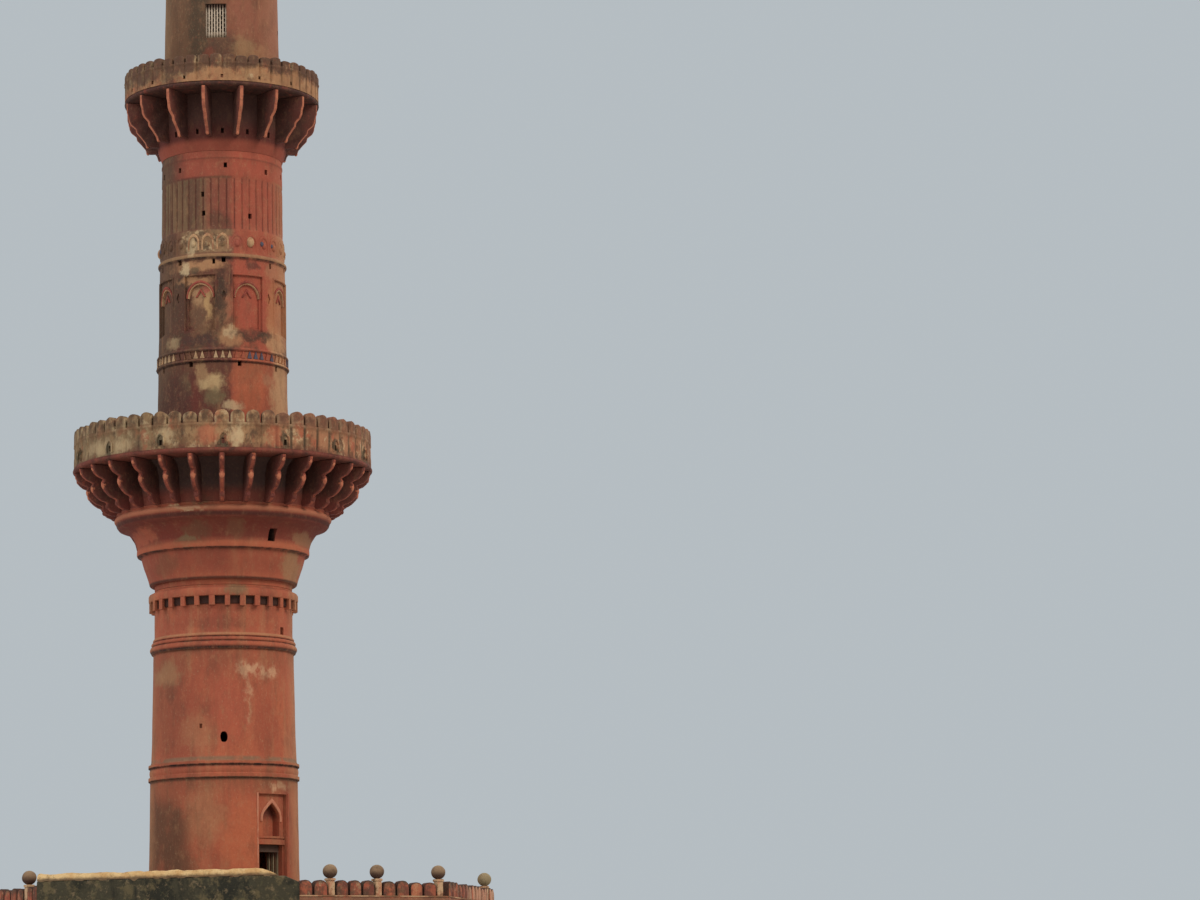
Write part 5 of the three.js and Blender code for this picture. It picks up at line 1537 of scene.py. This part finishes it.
def build_old_wall(name, side, right, fall, coat):
    """The weathered stretch of wall on the podium."""
    def ridge(x):
        sunk = fall * max(0.0, (x - (right - 0.7)) / 0.7)
        return OLD_TOP - 0.03 - sunk + 0.03 * bumpy(x * 1.7, 3.1, side)

    bm = bmesh.new()
    run(bm, side_matrix(side), -OLD_OUTER * CORNER, right, wall_section(OLD_OUTER, ridge), 60)
    long_edges = [edge for edge in bm.edges if edge.calc_length() > 0.25]
    bmesh.ops.subdivide_edges(bm, edges=long_edges, cuts=3, use_grid_fill=True)
    for vert in bm.verts:
        if vert.co.z > FENCE_FOOT + 0.05:
            vert.co += vert.co.normalized() * 0.025 * (noise.noise(vert.co * 2.3) - 0.3)
    keep(f"{name}_masonry", bm, coat, "dark_masonry", f"podium_{name}", smooth=50)


def build_old_cap(name, side, right, fall, coat):
    """The crumbling rounded capping of the weathered wall."""
    near, far = FENCE_INNER + CAP_LIP, OLD_OUTER - 0.01

    def section(x):
        fade = min(1.0, (right - x) / 0.6 + 0.02) ** 0.5 if fall else 1.0
        lump = bumpy(x * 1.3, side, 7) * 0.06 + bumpy(x * 4.1, 2, 7) * 0.03 - 0.03
        high = (CAP_TOP - OLD_TOP + lump) * fade
        points = []
        for j in range(13):
            t = math.pi * j / 12
            y = (near + far) / 2 - (far - near) / 2 * math.cos(t) * (0.97 + 0.06 * bumpy(x * 3, t, 1))
            hem = 0.16 * max(0.0, bumpy(x * 2.9, side, 4)) if j == 12 else 0.0
            points.append((y, OLD_TOP - 0.02 - hem + high * math.sin(t) ** 0.6))
        return points

    bm = bmesh.new()
    run(bm, side_matrix(side), -OLD_OUTER * CORNER, right, section, 120)
    keep(f"{name}_cap", bm, coat, "dark_masonry", smooth=60)


def dress_node(name, material):
    """A CAD node that is kept as it is, with its finish."""
    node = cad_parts[name]
    node.data.materials.clear()
    node.data.materials.append(material)


# The whole tower

make_camera()
make_light()
make_floor()

red = red_coat("red_plaster").plaster().finish()
# The knobs and the upper brackets' front edges get this painted highlight.
nose = nose_highlight_coat()
storey1, storey2, parapet1 = storey1_coat(), storey2_coat(), parapet1_coat()
light_arch, slate = speckled_coat("light_arch"), speckled_coat("slate_paint")

build_storey1(storey1)
build_dentils(storey1)
build_door_surround(red)
build_door_mouldings(speckled_coat("pale_plaster"))
build_door_jambs(door_stone_coat())
build_capital(capital_coat())
build_brackets1(bracket_coat("bracket_plaster", 18.2, 6.2), speckled_coat("lit_bracket_edge"), nose)
build_slab("balcony1_slab", *SLAB1, slab_coat("balcony1_edge_plaster", (112, 56, 44)), "balcony1_floor")
build_parapet("balcony1_wall", *PARAPET1, parapet1, [f"balcony1_parapet_{k}" for k in (1, 2, 3, 4)], DRAINS1)
build_spout_hoods(parapet1)
build_storey2(storey2)
build_niche_mouldings(storey2, light_arch, speckled_coat("dark_arch"))
build_triangles((speckled_coat("triangle_cream"), slate, storey2))
build_storey2_ornament(storey2, light_arch, slate)

slab = slab_coat("balcony_edge_plaster", (78, 46, 38))
build_upper_brackets(
    "balcony2", BELL2, STOREY2_INNER, BRACKET2_EDGE, *BRACKETS2,
    (bell_coat("balcony2_bell_plaster", 34.9), bracket_coat("bracket2_plaster", 34.9, 4.2), nose))
build_slab("balcony2_slab", *SLAB2, slab, "balcony2_floor")
build_parapet("balcony2_wall", *PARAPET2, parapet_high_coat("balcony2_plaster", 37.8, 38.7, 48, -123.75, 130),
              ["balcony2_parapet_1", "balcony2_parapet_2"], DRAINS2, True)
build_storey3(storey3_coat("storey3_plaster"))
screen_stucco = screen_coat()
for index, azimuth in enumerate(SCREEN_AZIMUTHS):
    build_screen(index + 1, azimuth, screen_stucco)
build_upper_brackets(
    "balcony3", BELL3, STOREY3_INNER, BRACKET3_EDGE, *BRACKETS3,
    (bell_coat("balcony3_bell_plaster", 46.7), bracket_coat("bracket3_plaster", 46.9, 3.3), nose))
build_slab("balcony3_slab", *SLAB3, slab, "balcony3_floor")
build_parapet("balcony3_wall", *PARAPET3, parapet_high_coat("balcony3_plaster", 49.0, 49.7, 24, -116.25, 150),
              ["balcony3_parapet_1", "balcony3_parapet_2"], DRAINS3, True)
build_top(storey3_coat("top_plaster"))
build_dome(parapet_high_coat("dome_plaster", 53.9, 56.0, 16, 0, 170))
build_finial(speckled_coat("cream_stucco"))

build_fence(fence_coat(), speckled_coat("shaded_merlon_core"), speckled_coat("parapet_ledge"),
            speckled_coat("post_plaster", 12), ball_coat())
dark_stone, lime = dark_stone_coat(), lime_coat()
for name, side, right, cap_right, fall in (
        ("weathered_wall", OLD_SIDE, OLD_OUTER * CORNER, OLD_OUTER * CORNER, 0.0),
        ("weathered_wall_end", 0, OLD_RIGHT, CAP_RIGHT, 0.24)):
    build_old_wall(name, side, right, fall, dark_stone)
    build_old_cap(name, side, cap_right, fall, lime)
dress_node("podium", podium_coat())
dress_node("terrace_paving", paving_coat())
